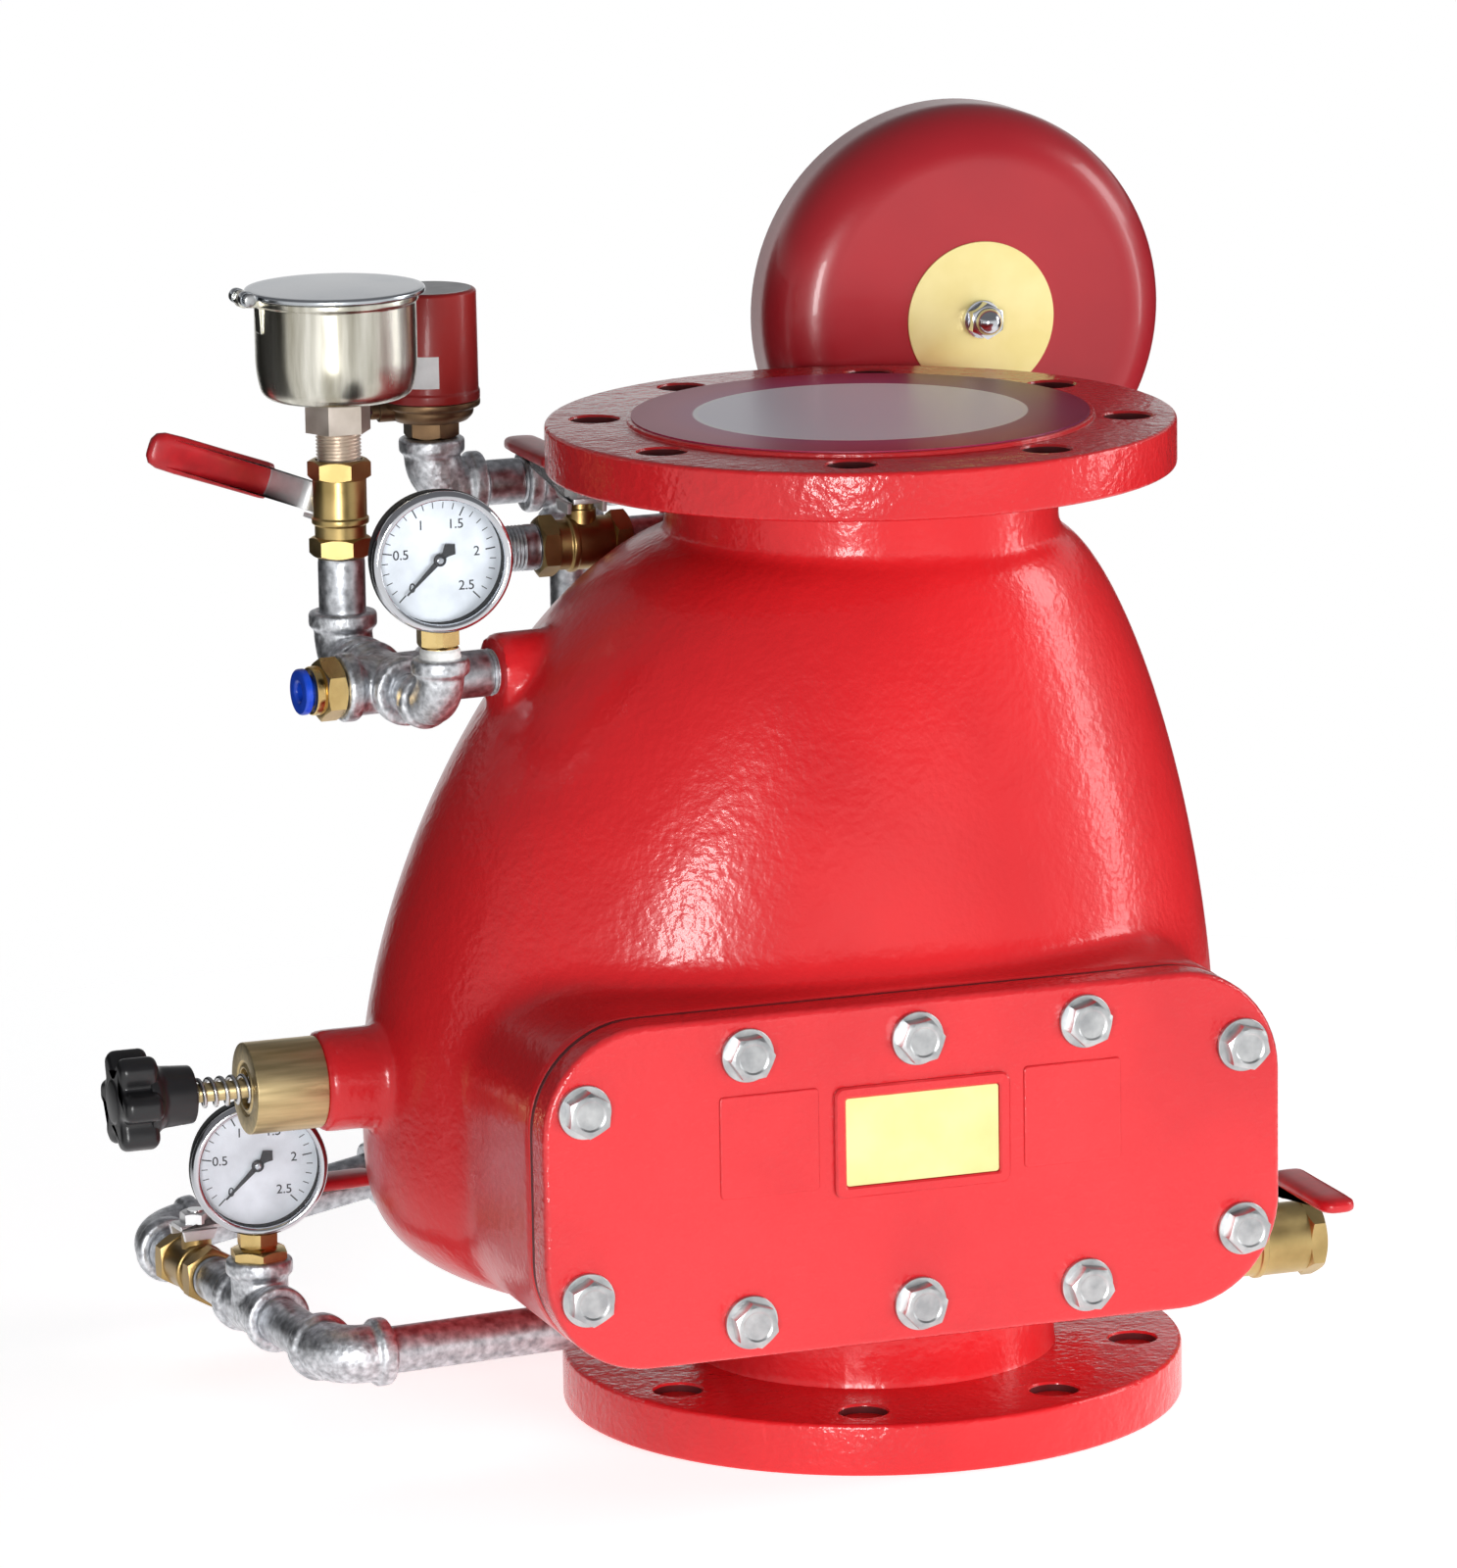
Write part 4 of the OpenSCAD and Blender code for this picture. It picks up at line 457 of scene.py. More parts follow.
def bell_rings(low_z, top_z, low_r, top_r, skin, around=112, lower=20, upper=44):
    """Rings of the oval bell, growing from a neck's circle to the bulb's ellipse and back."""
    rings = []
    for k in range(lower + 1):
        w = math.pi / 2 * (1 - k / lower)
        z = BULB_LOW - (BULB_LOW - low_z) * math.sin(w) ** (2 / 3)
        rings.append((z, max(math.cos(w), 0) ** (2 / 3), low_r))
    for k in range(upper + 1):
        w = math.pi / 2 * k / upper
        z = BULB_HIGH + (top_z - BULB_HIGH) * math.sin(w) ** 1.25
        rings.append((z, max(math.cos(w), 0) ** 1.25, top_r))
    verts = []
    for z, t, r in rings:
        for i in range(around):
            w = 2 * math.pi * i / around
            verts.append(spot((r + (BULB_HALF_W - skin - r) * t) * math.cos(w) - BULB_SHIFT * t,
                              (r + (BULB_HALF_D - skin - r) * t) * math.sin(w), z))
    return verts, banded(len(rings), around)


def along(direction, origin=(0, 0, 0)):
    """A frame at a point in mm whose local Z runs along the given direction."""
    return moved(*origin) @ Vector(direction).to_track_quat("Z", "Y").to_matrix().to_4x4()


def drum(r, l, place, segments=48):
    """A closed cylinder from the place's origin along its Z."""
    return lathe([(0, 0), (r, 0), (r, l), (0, l)], place, segments)


def rounded_rect(w, h, r, steps=14):
    out = []
    for sx, sy, start in ((1, 1, 0), (-1, 1, 90), (-1, -1, 180), (1, -1, 270)):
        for k in range(steps + 1):
            a = math.radians(start + 90 * k / steps)
            out.append((sx * (w / 2 - r) + r * math.cos(a), sy * (h / 2 - r) + r * math.sin(a)))
    return out


# Local frames of the trim: origin of the air line, of the inlet ports, and of the rear pipe that climbs by 9 degrees
LOOP_X, LOOP_Z = -265, 50
air = moved(-176, 3, 351) @ spun(5, "Z")
supply = moved(0, 0, LOOP_Z) @ spun(5, "Z")
rear = supply @ moved(LOOP_X, 229, 0) @ spun(-9, "Y")
cover_front = moved(-41, 0, 149) @ spun(90, "X")


def at_y(y):
    """The cover's plane at depth y, with local X to the right, local Y up and local Z towards the front."""
    return moved(0, y, 0) @ cover_front


bulb = fused(merged(bell_rings(63, 405, 82, 87, -0.8), prism(rounded_rect(346, 155, 48), 160, at_y(-60))), 4.0, 26)
front_waste = prism(rounded_rect(420, 240, 10), 120, at_y(BOX_Y))
skin = merged(
    carved(bulb, front_waste),
    drum(89, 270, moved(0, 0, 178), 96),
    drum(84, 120, moved(0, 0, 6), 96),
    drum(137, 16, moved(0, 0, 4), 96),
    drum(137, 14, moved(0, 0, 436), 96),
    drum(23, 52, along((1, 0, 0), (-264, 0, 172))),
    drum(17.5, 60, air @ along((1, 0, 0))),
    drum(16.5, 52, supply @ along((1, 0, 0), (-106, 0, 0))),
    drum(18.5, 36, along((-1, 0, 0), (108, 0, LOOP_Z))),
    drum(17.5, 60, rear @ along((0, -1, 0), (190, -82, 0))),
    drum(17.5, 60, along((0, -1, 0), (-70, 152, 150))),
    drum(17.5, 56, along((1, 0, 0), (-58, 100, 387))))
skin = fused(skin, 2.6, 7)
hand_hole = prism(rounded_rect(268, 86, 38), 125, at_y(-40))
for hollow in (bell_rings(76, 400, 73, 73, 10, 96, 16, 36), drum(BORE_R, 460, moved(0, 0, -2), 96), hand_hole):
    skin = carved(skin, hollow)


def hole_places(z):
    """Frames at the bolt holes of the flange that starts at height z."""
    return [moved(*polar(BOLT_CIRCLE_R, math.radians(22.5 + 45 * i)), z) for i in range(8)]


def flange(z, top, raised):
    """A drilled flange with its rim as high as top, and with the outline of its raised face, if it has one."""
    rim = [(BORE_R, 0), (FLANGE_R, 0, 2.2), (FLANGE_R, top, 2.2)] + raised + [(BORE_R, FLANGE_T)]
    part = lathe(eased(rim, 1.0, 4) + [(BORE_R, 0)], moved(0, 0, z), 128)
    hole = [(0, -2), (HOLE_R + 2, -2), (HOLE_R, 1.2), (HOLE_R, top - 1.2), (HOLE_R + 2, top + 2), (0, top + 2)]
    for place in hole_places(z):
        part = carved(part, lathe(hole, place, 40))
    return part


outlet_top = FLANGE_T - RAISED_T
outlet_flange = flange(OUTLET_Z, outlet_top, [(RAISED_R, outlet_top, 0.6), (RAISED_R, FLANGE_T, 0.8)])
body_lip = carved(prism(rounded_rect(344.6, 153.6, 47.8), 8, at_y(BOX_Y + 8), 1.2), hand_hole)
piece("valve_body_casting", merged(skin, body_lip), red_paint, "red_enamel", ["valve_body"], 40)
piece("valve_body_flanges", merged(outlet_flange, flange(0, FLANGE_T, [])), red_flange_paint, "red_enamel", (), 40)


def rough(name, colour, roughness, scale=400, strength=0.25, depth=0.0003):
    m, tree, shader = coated(name)
    shade, grain = noise_mix(tree, placed(tree), scale, [c * 0.75 for c in colour], colour)
    tree.links.new(shade, shader.inputs["Base Color"])
    preset(shader, {"Roughness": roughness})
    bumped(tree, shader, [(grain, strength, depth)])
    return m


# Thin dark red sleeves inside the bolt holes: painted shade, so the holes read as shadowed recesses.
hole_painted_shade = rough("hole_painted_shade", (0.11, 0.008, 0.010), 0.75, 90, 0.6, 0.0010)
wall_r, wall_in = HOLE_R - 0.04, HOLE_R - 0.3
hole_shade_sleeves = [lathe([(wall_r, 1), (wall_r, top - 1), (wall_in, top - 1), (wall_in, 1), (wall_r, 1)], place, 40)
              for z, top in ((OUTLET_Z, outlet_top), (0, FLANGE_T)) for place in hole_places(z)]
piece("flange_hole_shade_sleeves", merged(*hole_shade_sleeves), hole_painted_shade, "red_enamel")

# Hand-hole cover
# A flat cast plate with eased edges over a rubber gasket whose edge took some of the paint, enamelled with the body.
# A raised frame holds a plain brass plate between two flat square pads.
GASKET_T, COVER_T = 3, 18
COVER_Y = BOX_Y - GASKET_T - COVER_T
PLATE_AT = (2, 16, 0)
red_cover_paint = enamel("red_enamel_cover", (0.49, 0.013, 0.018), (0.61, 0.022, 0.027), 0.26, 0.85, 0.60, 0.22, 0.5)
gasket_edge = rough("gasket_edge", (0.10, 0.010, 0.012), 0.6)
gasket = carved(prism(rounded_rect(343.6, 152.6, 47.3), GASKET_T, at_y(BOX_Y), 0.3), hand_hole)
piece("cover_gasket_sheet", gasket, gasket_edge, "rubber", ["cover_gasket"])


def frame_ring(w, h, bar, tall, place):
    """A raised rectangular frame with eased edges round an opening of w by h."""
    inside, outside, eased_in, eased_out = (
        rounded_rect(w + 2 * d, h + 2 * d, 1.2 + 0.6 * d, 4) for d in (0, bar, 0.8, bar - 0.8))
    rings = [(outside, 0), (outside, tall - 0.8), (eased_out, tall), (eased_in, tall), (inside, tall - 0.8),
             (inside, 0)]
    n = len(inside)
    verts = [place @ spot(x, y, z) for ring, z in rings for x, y in ring]
    base = [(5 * n + i, 5 * n + (i + 1) % n, (i + 1) % n, i) for i in range(n)]
    return verts, banded(len(rings), n)[:-2] + base


cover_plate = merged(
    prism(rounded_rect(345, 154, 48), COVER_T, at_y(BOX_Y - GASKET_T), 3.0, 5),
    frame_ring(72, 40, 5, 3.5, at_y(COVER_Y + 1) @ moved(*PLATE_AT)),
    *[prism(rounded_rect(46, 46, 2, 4), 2, at_y(COVER_Y + 1) @ moved(2 + 71 * sx, 19, 0), 0.8) for sx in (-1, 1)])
piece("handhole_cover_plate", cover_plate, red_cover_paint, "red_enamel", ["handhole_cover"])


def metal(name, low, high, roughness, scale=60, bump=0.12, depth=0.0004, spread=0.12, stretch=None, shine=1.0):
    """Bare or plated metal: the colour and the polish wander a little over the surface."""
    m, tree, shader = coated(name)
    preset(shader, {"Metallic": shine})
    where = placed(tree)
    if stretch:
        scaled = added(tree, "ShaderNodeVectorMath", {1: stretch}, "MULTIPLY")
        tree.links.new(where, scaled.inputs[0])
        where = scaled.outputs["Vector"]
    colour, grain = noise_mix(tree, where, scale, low, high)
    tree.links.new(colour, shader.inputs["Base Color"])
    span = added(tree, "ShaderNodeMapRange", {"To Min": max(roughness - spread, 0.03), "To Max": roughness + spread})
    tree.links.new(grain, span.inputs["Value"])
    joined(tree, (span, "Result", shader, "Roughness"))
    _, fine = noise_mix(tree, where, scale * 7, low, high, 2.0)
    bumped(tree, shader, [(grain, bump, depth), (fine, bump * 0.6, depth * 0.4)])
    return m


plate_metal = metal("plate_brass", (0.78, 0.66, 0.27), (0.86, 0.75, 0.36), 0.42, 40, 0.05, shine=0.45)
nameplate = prism(rounded_rect(71.6, 39.6, 1.5, 4), 1.2, at_y(COVER_Y + 0.1) @ moved(*PLATE_AT), 0.2)
piece("cover_nameplate_blank", nameplate, plate_metal, "brass", ["cover_nameplate"])

# Cover bolts
# Ten zinc-plated hexagon bolts on plain washers, cold-headed with a chamfered crown and a shallow dished top.
WASHER_T = 2.5
zinc_metal = metal("zinc_plate", (0.40, 0.41, 0.42), (0.64, 0.65, 0.65), 0.34, 120, 0.20)


def hex_shape(flats, h, place=Matrix(), both=False, dish=0.0, bore=0.0):
    """A hexagon of the given width across flats, chamfered round its top, its flats arched as a lathe leaves them."""
    n = 72
    inner = flats / 2 * 0.96

    def reach(i):
        w = (2 * math.pi * i / n + math.pi / 6) % (math.pi / 3) - math.pi / 6
        return flats / 2 / math.cos(w)

    def fall(i):
        return max(reach(i) - inner, 0) * 0.58

    rings = [[(inner * 0.99, 0.0)] * n] if both else []
    rings.append([(reach(i), fall(i) if both else 0.0) for i in range(n)])
    rings.append([(reach(i), h - fall(i)) for i in range(n)])
    rings.append([(inner * 0.99, h)] * n)
    if dish:
        rings += [[(inner * 0.80, h)] * n, [(inner * 0.70, h - dish)] * n]
    if bore:
        rings += [[(bore, h)] * n, [(bore, h * 0.5)] * n]
    verts = [place @ spot(*polar(r, 2 * math.pi * i / n), z) for ring in rings for i, (r, z) in enumerate(ring)]
    return verts, banded(len(rings), n)


bolt_parts = []
bolt_places = [(x, z) for x in (-79, 0, 79) for z in (-60, 60)] + [(x, z) for x in (-154, 154) for z in (-42, 42)]
for i, (x, z) in enumerate(bolt_places):
    here = at_y(COVER_Y) @ moved(x, z, 0) @ spun(23 * i * i + 11, "Z")
    bolt_parts.append(lathe([(0, 0), (12, 0), (12, WASHER_T), (0, WASHER_T)], here, 48, 0.5))
    bolt_parts.append(hex_shape(18, 7.5, here @ moved(0, 0, WASHER_T), dish=0.5))
piece("cover_bolts_set", merged(*bolt_parts), zinc_metal, "zinc_steel", ["cover_bolts"], 28)

# Reset gland, stem, spring and knob
# A turned brass gland screws into the left boss; the brass push stem slides in it against a coil of spring steel and
# carries a moulded black star knob on its threaded end.
KNOB_AT, STEM_R = 58, 4.25
gland_brass = metal("gland_brass", (0.44, 0.34, 0.17), (0.66, 0.52, 0.28), 0.36, 30, 0.10, 0.0003, 0.12, (1, 12, 12))
gland = along((-1, 0, 0), (-264, 0, 172))
piece("gland_nut_turned", lathe([
    (0, -0.5), (20.7, -0.5), (20.7, 33), (12.5, 33, 0.5), (12.2, 32.2), (10.8, 32.2), (10.4, 33), (9, 33), (9, 25),
    (4.4, 25), (0, 25)], gland, 72, 0.8), gland_brass, "brass", ["gland_nut"])
stem_profile = [(0, -80.5), (2.4, -80), (4, -78), (STEM_R, -76), (STEM_R, KNOB_AT)]
for k in range(8):
    stem_profile += [(STEM_R, KNOB_AT + 2.0 * k), (3.7, KNOB_AT + 1 + 2.0 * k)]
stem_profile += [(4.0, 75), (4.0, 82), (0, 82)]
stem_collar = lathe([(0, -47), (7.5, -47), (7.5, -42), (0, -42)], gland, 40, 0.6)
piece("reset_stem_turned", merged(lathe(stem_profile, gland, 40), stem_collar), gland_brass, "brass", ["reset_stem"],
      body="reset_button")


def coil(r, wire, length, turns, place, steps=28, sides=10):
    """A compression spring from the place's origin along its Z, with closed ends."""
    verts = []
    total = int(turns * steps)
    for k in range(total + 1):
        w = 2 * math.pi * k / steps
        t = k / total
        z = wire + (length - 2 * wire) * min(max((t * turns - 0.8) / (turns - 1.6), 0), 1)
        for s in range(sides):
            a = 2 * math.pi * s / sides
            verts.append(place @ spot(*polar(r + wire * math.cos(a), w), z + wire * math.sin(a)))
    return verts, banded(total + 1, sides)


spring_steel = metal("spring_steel", (0.45, 0.45, 0.46), (0.66, 0.66, 0.66), 0.24, 70, 0.05)
spring = piece("knob_spring_coil", coil(6.0, 1.05, 33, 7.5, gland @ moved(0, 0, 25)), spring_steel, "zinc_steel",
               ["knob_spring"], 60)
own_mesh(spring)

knob_black = rough("knob_black", (0.010, 0.010, 0.011), 0.30, 160, 0.10, 0.0002)
knob_outline = []
for i in range(120):
    w = 2 * math.pi * i / 120
    knob_outline.append(polar(20.2 + 3.8 * math.cos(6 * w) - 0.9 * math.cos(12 * w), w))
knob_place = gland @ moved(0, 0, KNOB_AT)
piece("star_knob_moulded", merged(
    lathe([(4.4, 6), (4.4, 0), (13, 0, 1), (14, 15, 3), (17, 18, 3), (17, 22), (0, 22)], knob_place, 64, 1.0, 4),
    prism(knob_outline, 18, knob_place @ moved(0, 0, 18), 3.6, 6),
    lathe([(0, 34), (11, 34), (10, 36.6, 1.2), (0, 36.9)], knob_place, 48, 0.8)),
    knob_black, "black_plastic", ["star_knob"], 45, "reset_button")

# Outlet film
# A thin printed plastic disc laid over the outlet to keep dirt out: a maroon band round a pale lavender middle, with a
# thin white line between them.
# Towards the right the band is painted darker and more violet: painted shade.
FILM_R, FILM_LOW, FILM_TOP = 103.4, 456.05, 456.6
film_print_and_shade, tree, shader = coated("film_print_and_shade")
flat = added(tree, "ShaderNodeVectorMath", {1: (9.6, 9.6, 0)}, "MULTIPLY")
span = added(tree, "ShaderNodeVectorMath", operation="LENGTH")
bands = ramped(tree, [
    (0.0, (0.92, 0.88, 0.98, 1)), (0.700, (0.93, 0.90, 0.98, 1)), (0.706, (0.97, 0.95, 0.98, 1)),
    (0.722, (0.97, 0.95, 0.98, 1)), (0.728, (0.46, 0.085, 0.21, 1)), (0.86, (0.48, 0.060, 0.14, 1)),
    (1.0, (0.40, 0.02, 0.08, 1))])
across = added(tree, "ShaderNodeSeparateXYZ")
# Painted shade: towards the disc's right side the band is multiplied darker and more violet.
painted_side_shade = ramped(tree, [(0.0, (1.0, 1.0, 1.0, 1)), (0.085, (0.34, 0.60, 0.90, 1))])
print_with_side_shade = added(tree, "ShaderNodeMix")
print_with_side_shade.data_type = "RGBA"
print_with_side_shade.blend_type = "MULTIPLY"
outer = added(tree, "ShaderNodeMath", {1: 0.725}, "GREATER_THAN")
tree.links.new(placed(tree), flat.inputs[0])
tree.links.new(placed(tree), across.inputs["Vector"])
joined(tree, (flat, "Vector", span, 0), (across, "X", painted_side_shade, "Fac"), (span, "Value", bands, "Fac"),
       (span, "Value", outer, 0), (outer, "Value", print_with_side_shade, "Factor"), (bands, "Color", print_with_side_shade, "A"),
       (painted_side_shade, "Color", print_with_side_shade, "B"), (print_with_side_shade, "Result", shader, "Base Color"))
preset(shader, {"Roughness": 0.34, "Specular IOR Level": 0.42})
_, crease = noise_mix(tree, placed(tree), 14, (0, 0, 0), (1, 1, 1), 1.0)
bumped(tree, shader, [(crease, 0.2, 0.002)])
disc = [(0, FILM_LOW), (60, FILM_LOW), (FILM_R, FILM_LOW), (FILM_R, FILM_TOP), (60, FILM_TOP), (0, FILM_TOP)]
piece("port_film_sheet", lathe(disc, Matrix(), 128), film_print_and_shade, "film", ["port_film"], body="film")

# Threaded pipes
# Galvanized steel pipe cut to length, dull grey with a streaky zinc skin; the last turns of thread show at each socket.
PIPE_R, SMALL_PIPE_R, DRAIN_PIPE_R, PITCH = 10.65, 8.35, 13.45, 1.8
CROSS_X, CUP_Y = -50, 52
galvanized = metal("galvanized_pipe", (0.30, 0.31, 0.33), (0.66, 0.68, 0.71), 0.40, 260, 0.25, 0.0005, 0.10)


def pipe(start, end, place, threads=15, r=PIPE_R):
    """A pipe between two points of a frame in mm, with a few thin turns of thread at both ends."""
    a, b = Vector(start), Vector(end)
    l = (b - a).length
    turns = int(threads / PITCH)
    cut = PITCH * turns
    rows = [(0, 0), (r - 1, 0)]
    for k in range(turns):
        rows += [(r - 0.75, PITCH * k), (r + 0.02, PITCH * k + 0.9)]
    rows += [(r - 0.2, cut), (r, cut + 1.2), (r, l - cut - 1.2), (r - 0.2, l - cut)]
    for k in range(turns):
        rows += [(r + 0.02, l - cut + PITCH * k + 0.9), (r - 0.75, l - cut + PITCH * k + PITCH)]
    rows += [(r - 1, l), (0, l)]
    return lathe(rows, place @ along(b - a, a), 40)


alarm = moved(-70, 203, 399)
pipes = merged(
    pipe((-38, 0, 0), (14, 0, 0), air, 19),
    pipe((CROSS_X, 12, 0), (CROSS_X, 40, 0), air, 14),
    pipe((CROSS_X, CUP_Y, 12), (CROSS_X, CUP_Y, 60), air, 14),
    pipe((CROSS_X, -12, 0), (CROSS_X, -50, 0), air, 14, SMALL_PIPE_R),
    pipe((-253, 0, 0), (-92, 0, 0), supply),
    pipe((LOOP_X, 12, 0), (LOOP_X, 81, 0), supply),
    pipe((LOOP_X, 105, 0), (LOOP_X, 161, 0), supply),
    pipe((LOOP_X, 183, 0), (LOOP_X, 217, 0), supply),
    pipe((12, 0, 0), (178, 0, 0), rear),
    pipe((190, -12, 0), (190, -96, 0), rear),
    pipe((0, -65, -249), (0, -12, -249), alarm),
    pipe((0, 0, -237), (0, 0, -12), alarm),
    pipe((-56, 0, 0), (-12, 0, 0), alarm),
    pipe((12, 0, 0), (170, 0, 0), alarm),
    pipe((182, 0, 12), (182, 0, 29), alarm, 3),
    pipe((-89, 100, 387), (-44, 100, 387), Matrix(), 14),
    pipe((-111, 100, 387), (-141, 100, 387), Matrix(), 14),
    pipe((94, 0, LOOP_Z), (181, 0, LOOP_Z), Matrix(), 14, DRAIN_PIPE_R))
piece("trim_pipes_galvanized", pipes, galvanized, "galvanized_steel", ["trim_pipes"], 50)

# Malleable iron fittings
# Cast elbows, tees and a cross with a bead round each mouth, hot-dip galvanized: bright, lumpy zinc over a cast skin.
FITTING, SMALL_FITTING = (24, 13.2, 15.5), (22, 10.5, 13)
AIR_GAUGE_Y, LOOP_TEE_Y = -60, 93
galvanized_cast = metal("galvanized_cast", (0.36, 0.37, 0.39), (0.78, 0.80, 0.83), 0.42, 330, 0.60, 0.0007, 0.10)


def arm(direction, size, place, start=0):
    """One mouth of a fitting, from start to the end of its reach; size is reach, radius and radius of the bead."""
    reach, r, bead = size
    l = reach - start
    mouth = [(0, 0), (r, 0), (r, l - 8, 2), (bead, l - 7, 1.6), (bead, l, 1.8), (r - 2.4, l, 0.8), (r - 2.4, l - 0.8),
             (0, l - 0.8)]
    return lathe(mouth, place @ moved(*(Vector(direction) * start)) @ along(direction), 40, 0.6)


def ball(r, place):
    return lathe([(r * math.sin(math.pi * k / 16), -r * math.cos(math.pi * k / 16)) for k in range(17)], place, 32)


def bend(r, place, radius=15):
    """A quarter of a torus between the local +X and +Y arms."""
    verts = []
    n, m = 14, 32
    for k in range(n + 1):
        w = math.pi / 2 * k / n
        for i in range(m):
            a = 2 * math.pi * i / m
            d = radius + r * math.cos(a)
            verts.append(place @ spot(radius - d * math.cos(w), radius - d * math.sin(w), r * math.sin(a)))
    return verts, banded(n + 1, m)


def elbow(place, size=FITTING):
    arms = [arm(direction, size, place, 14) for direction in ((1, 0, 0), (0, 1, 0))]
    return fused(merged(bend(size[1], place), *arms), 0.9, 4)


def junction(directions, place):
    return fused(merged(ball(FITTING[1], place), *[arm(d, FITTING, place) for d in directions]), 0.9, 6)


def turned(matrix, x, y, z, move=(0, 0, 0)):
    """A frame shifted by mm and turned by degrees about X, then Y, then Z."""
    return matrix @ moved(*move) @ spun(z, "Z") @ spun(y, "Y") @ spun(x, "X")


mirror_y = Matrix.Scale(-1, 4, (0, 1, 0))
elbows = merged(
    elbow(turned(air, 90, 0, -90, (CROSS_X, CUP_Y, 0))),
    elbow(turned(air, 90, 0, 90, (CROSS_X, AIR_GAUGE_Y, 0)), SMALL_FITTING),
    elbow(supply @ moved(LOOP_X, 0, 0)),
    elbow(rear @ mirror_y),
    elbow(turned(rear, 0, 0, 180, (190, 0, 0))),
    elbow(turned(alarm, 90, 0, -90, (0, 0, -249))),
    elbow(turned(alarm, 90, 0, 0, (-68, 0, 0))),
    elbow(turned(alarm, 90, 0, 180, (182, 0, 0))))
piece("trim_elbows_cast", elbows, galvanized_cast, "galvanized_steel", ["trim_elbows"], 60)
coupling = [(10.7, 0), (15.5, 0, 1.6), (15.5, 6, 1), (14.2, 7), (14.2, 23), (15.5, 24, 1), (15.5, 30, 1.6), (10.7, 30)]
tees = merged(
    junction([(1, 0, 0), (-1, 0, 0), (0, 1, 0), (0, -1, 0)], air @ moved(CROSS_X, 0, 0)),
    junction([(0, 1, 0), (0, -1, 0), (0, 0, 1)], supply @ moved(LOOP_X, LOOP_TEE_Y, 0)),
    junction([(1, 0, 0), (-1, 0, 0), (0, 0, -1)], alarm),
    lathe(coupling, rear @ along((1, 0, 0), (112, 0, 0)), 48, 1.0))
piece("trim_tees_cast", tees, galvanized_cast, "galvanized_steel", ["trim_tees"], 60)

# Push-in tube fitting
# A brass hexagon fitting in the cross with a blue plastic release collet, for the air tube.
fitting_brass = metal("fitting_brass", (0.55, 0.38, 0.15), (0.74, 0.55, 0.24), 0.24, 60, 0.06)
push = air @ along((-1, 0, 0), (-74, 0, 0))
piece("push_fitting_turned", merged(
    hex_shape(25, 10, push, both=True),
    lathe([(0, -6), (10.6, -6), (10.6, 0), (0, 0)], push, 40, 0.4),
    lathe([(7.1, 9.5), (11, 9.5), (11, 14, 1.2), (7.1, 14), (7.1, 9.5)], push, 48, 0.6)),
    fitting_brass, "brass", ["push_fitting"])
collet_blue = rough("collet_blue", (0.01, 0.07, 0.62), 0.22, 120, 0.05, 0.0002)
collet = [(4.05, -8), (6.9, -8), (6.9, 0), (10.4, 0, 0.8), (10.4, 3.6, 1.4), (5.2, 3.6, 0.8), (4.05, 2.4), (4.05, -8)]
piece("push_collet_moulded", lathe(collet, push @ moved(0, 0, 15.8), 48, 0.4), collet_blue, "blue_plastic",
      ["push_collet"], body="collet")

# Pressure gauges
# Two like Bourdon gauges: black pressed case, chromed bezel, flat glass, white printed dial from 0 to 2.5 with a black
# needle on zero, on a brass hexagon socket sealed by white tape.
DIAL_START, DIAL_SWEEP, TICKS = 225, 270, 25
TICK_R, FIGURE_R = 25.6, 17.2
FIGURES = ("0", "0.5", "1", "1.5", "2", "2.5")


def painted(name, colour, roughness):
    return rough(name, colour, roughness, 60, 0.05, 0.0001)


chrome = metal("bezel_chrome", (0.50, 0.51, 0.54), (0.66, 0.67, 0.70), 0.10, 20, 0.02, 0.0002, 0.03)
case_black = painted("case_black", (0.010, 0.010, 0.012), 0.55)
preset(case_black.node_tree.nodes["Principled BSDF"], {"Specular IOR Level": 0.15})
dial_paint = painted("dial_paint", (0.90, 0.93, 0.97), 0.45)
ink = painted("dial_ink", (0.012, 0.012, 0.015), 0.5)
tape_white = rough("thread_tape", (0.85, 0.85, 0.83), 0.6, 220, 0.5, 0.0006)
glass, tree, shader = coated("gauge_glass")
tree.nodes.remove(shader)
clear = added(tree, "ShaderNodeBsdfTransparent", {"Color": (0.97, 0.98, 0.99, 1)})
shine = added(tree, "ShaderNodeBsdfGlossy", {"Roughness": 0.02})
mix = added(tree, "ShaderNodeMixShader", {"Fac": 0.02})
joined(tree, (clear, "BSDF", mix, 1), (shine, "BSDF", mix, 2),
       (mix, "Shader", tree.nodes["Material Output"], "Surface"))


def numeral(text, size, place):
    """Plain figures as flat faces, centred at the place, read from its +Z side."""
    data = bpy.data.curves.new("numeral", "FONT")
    data.body = text
    data.size = size * MM
    data.offset = 0.00004
    data.align_x, data.align_y = "CENTER", "CENTER"
    return as_part(loose("numeral", data), place)


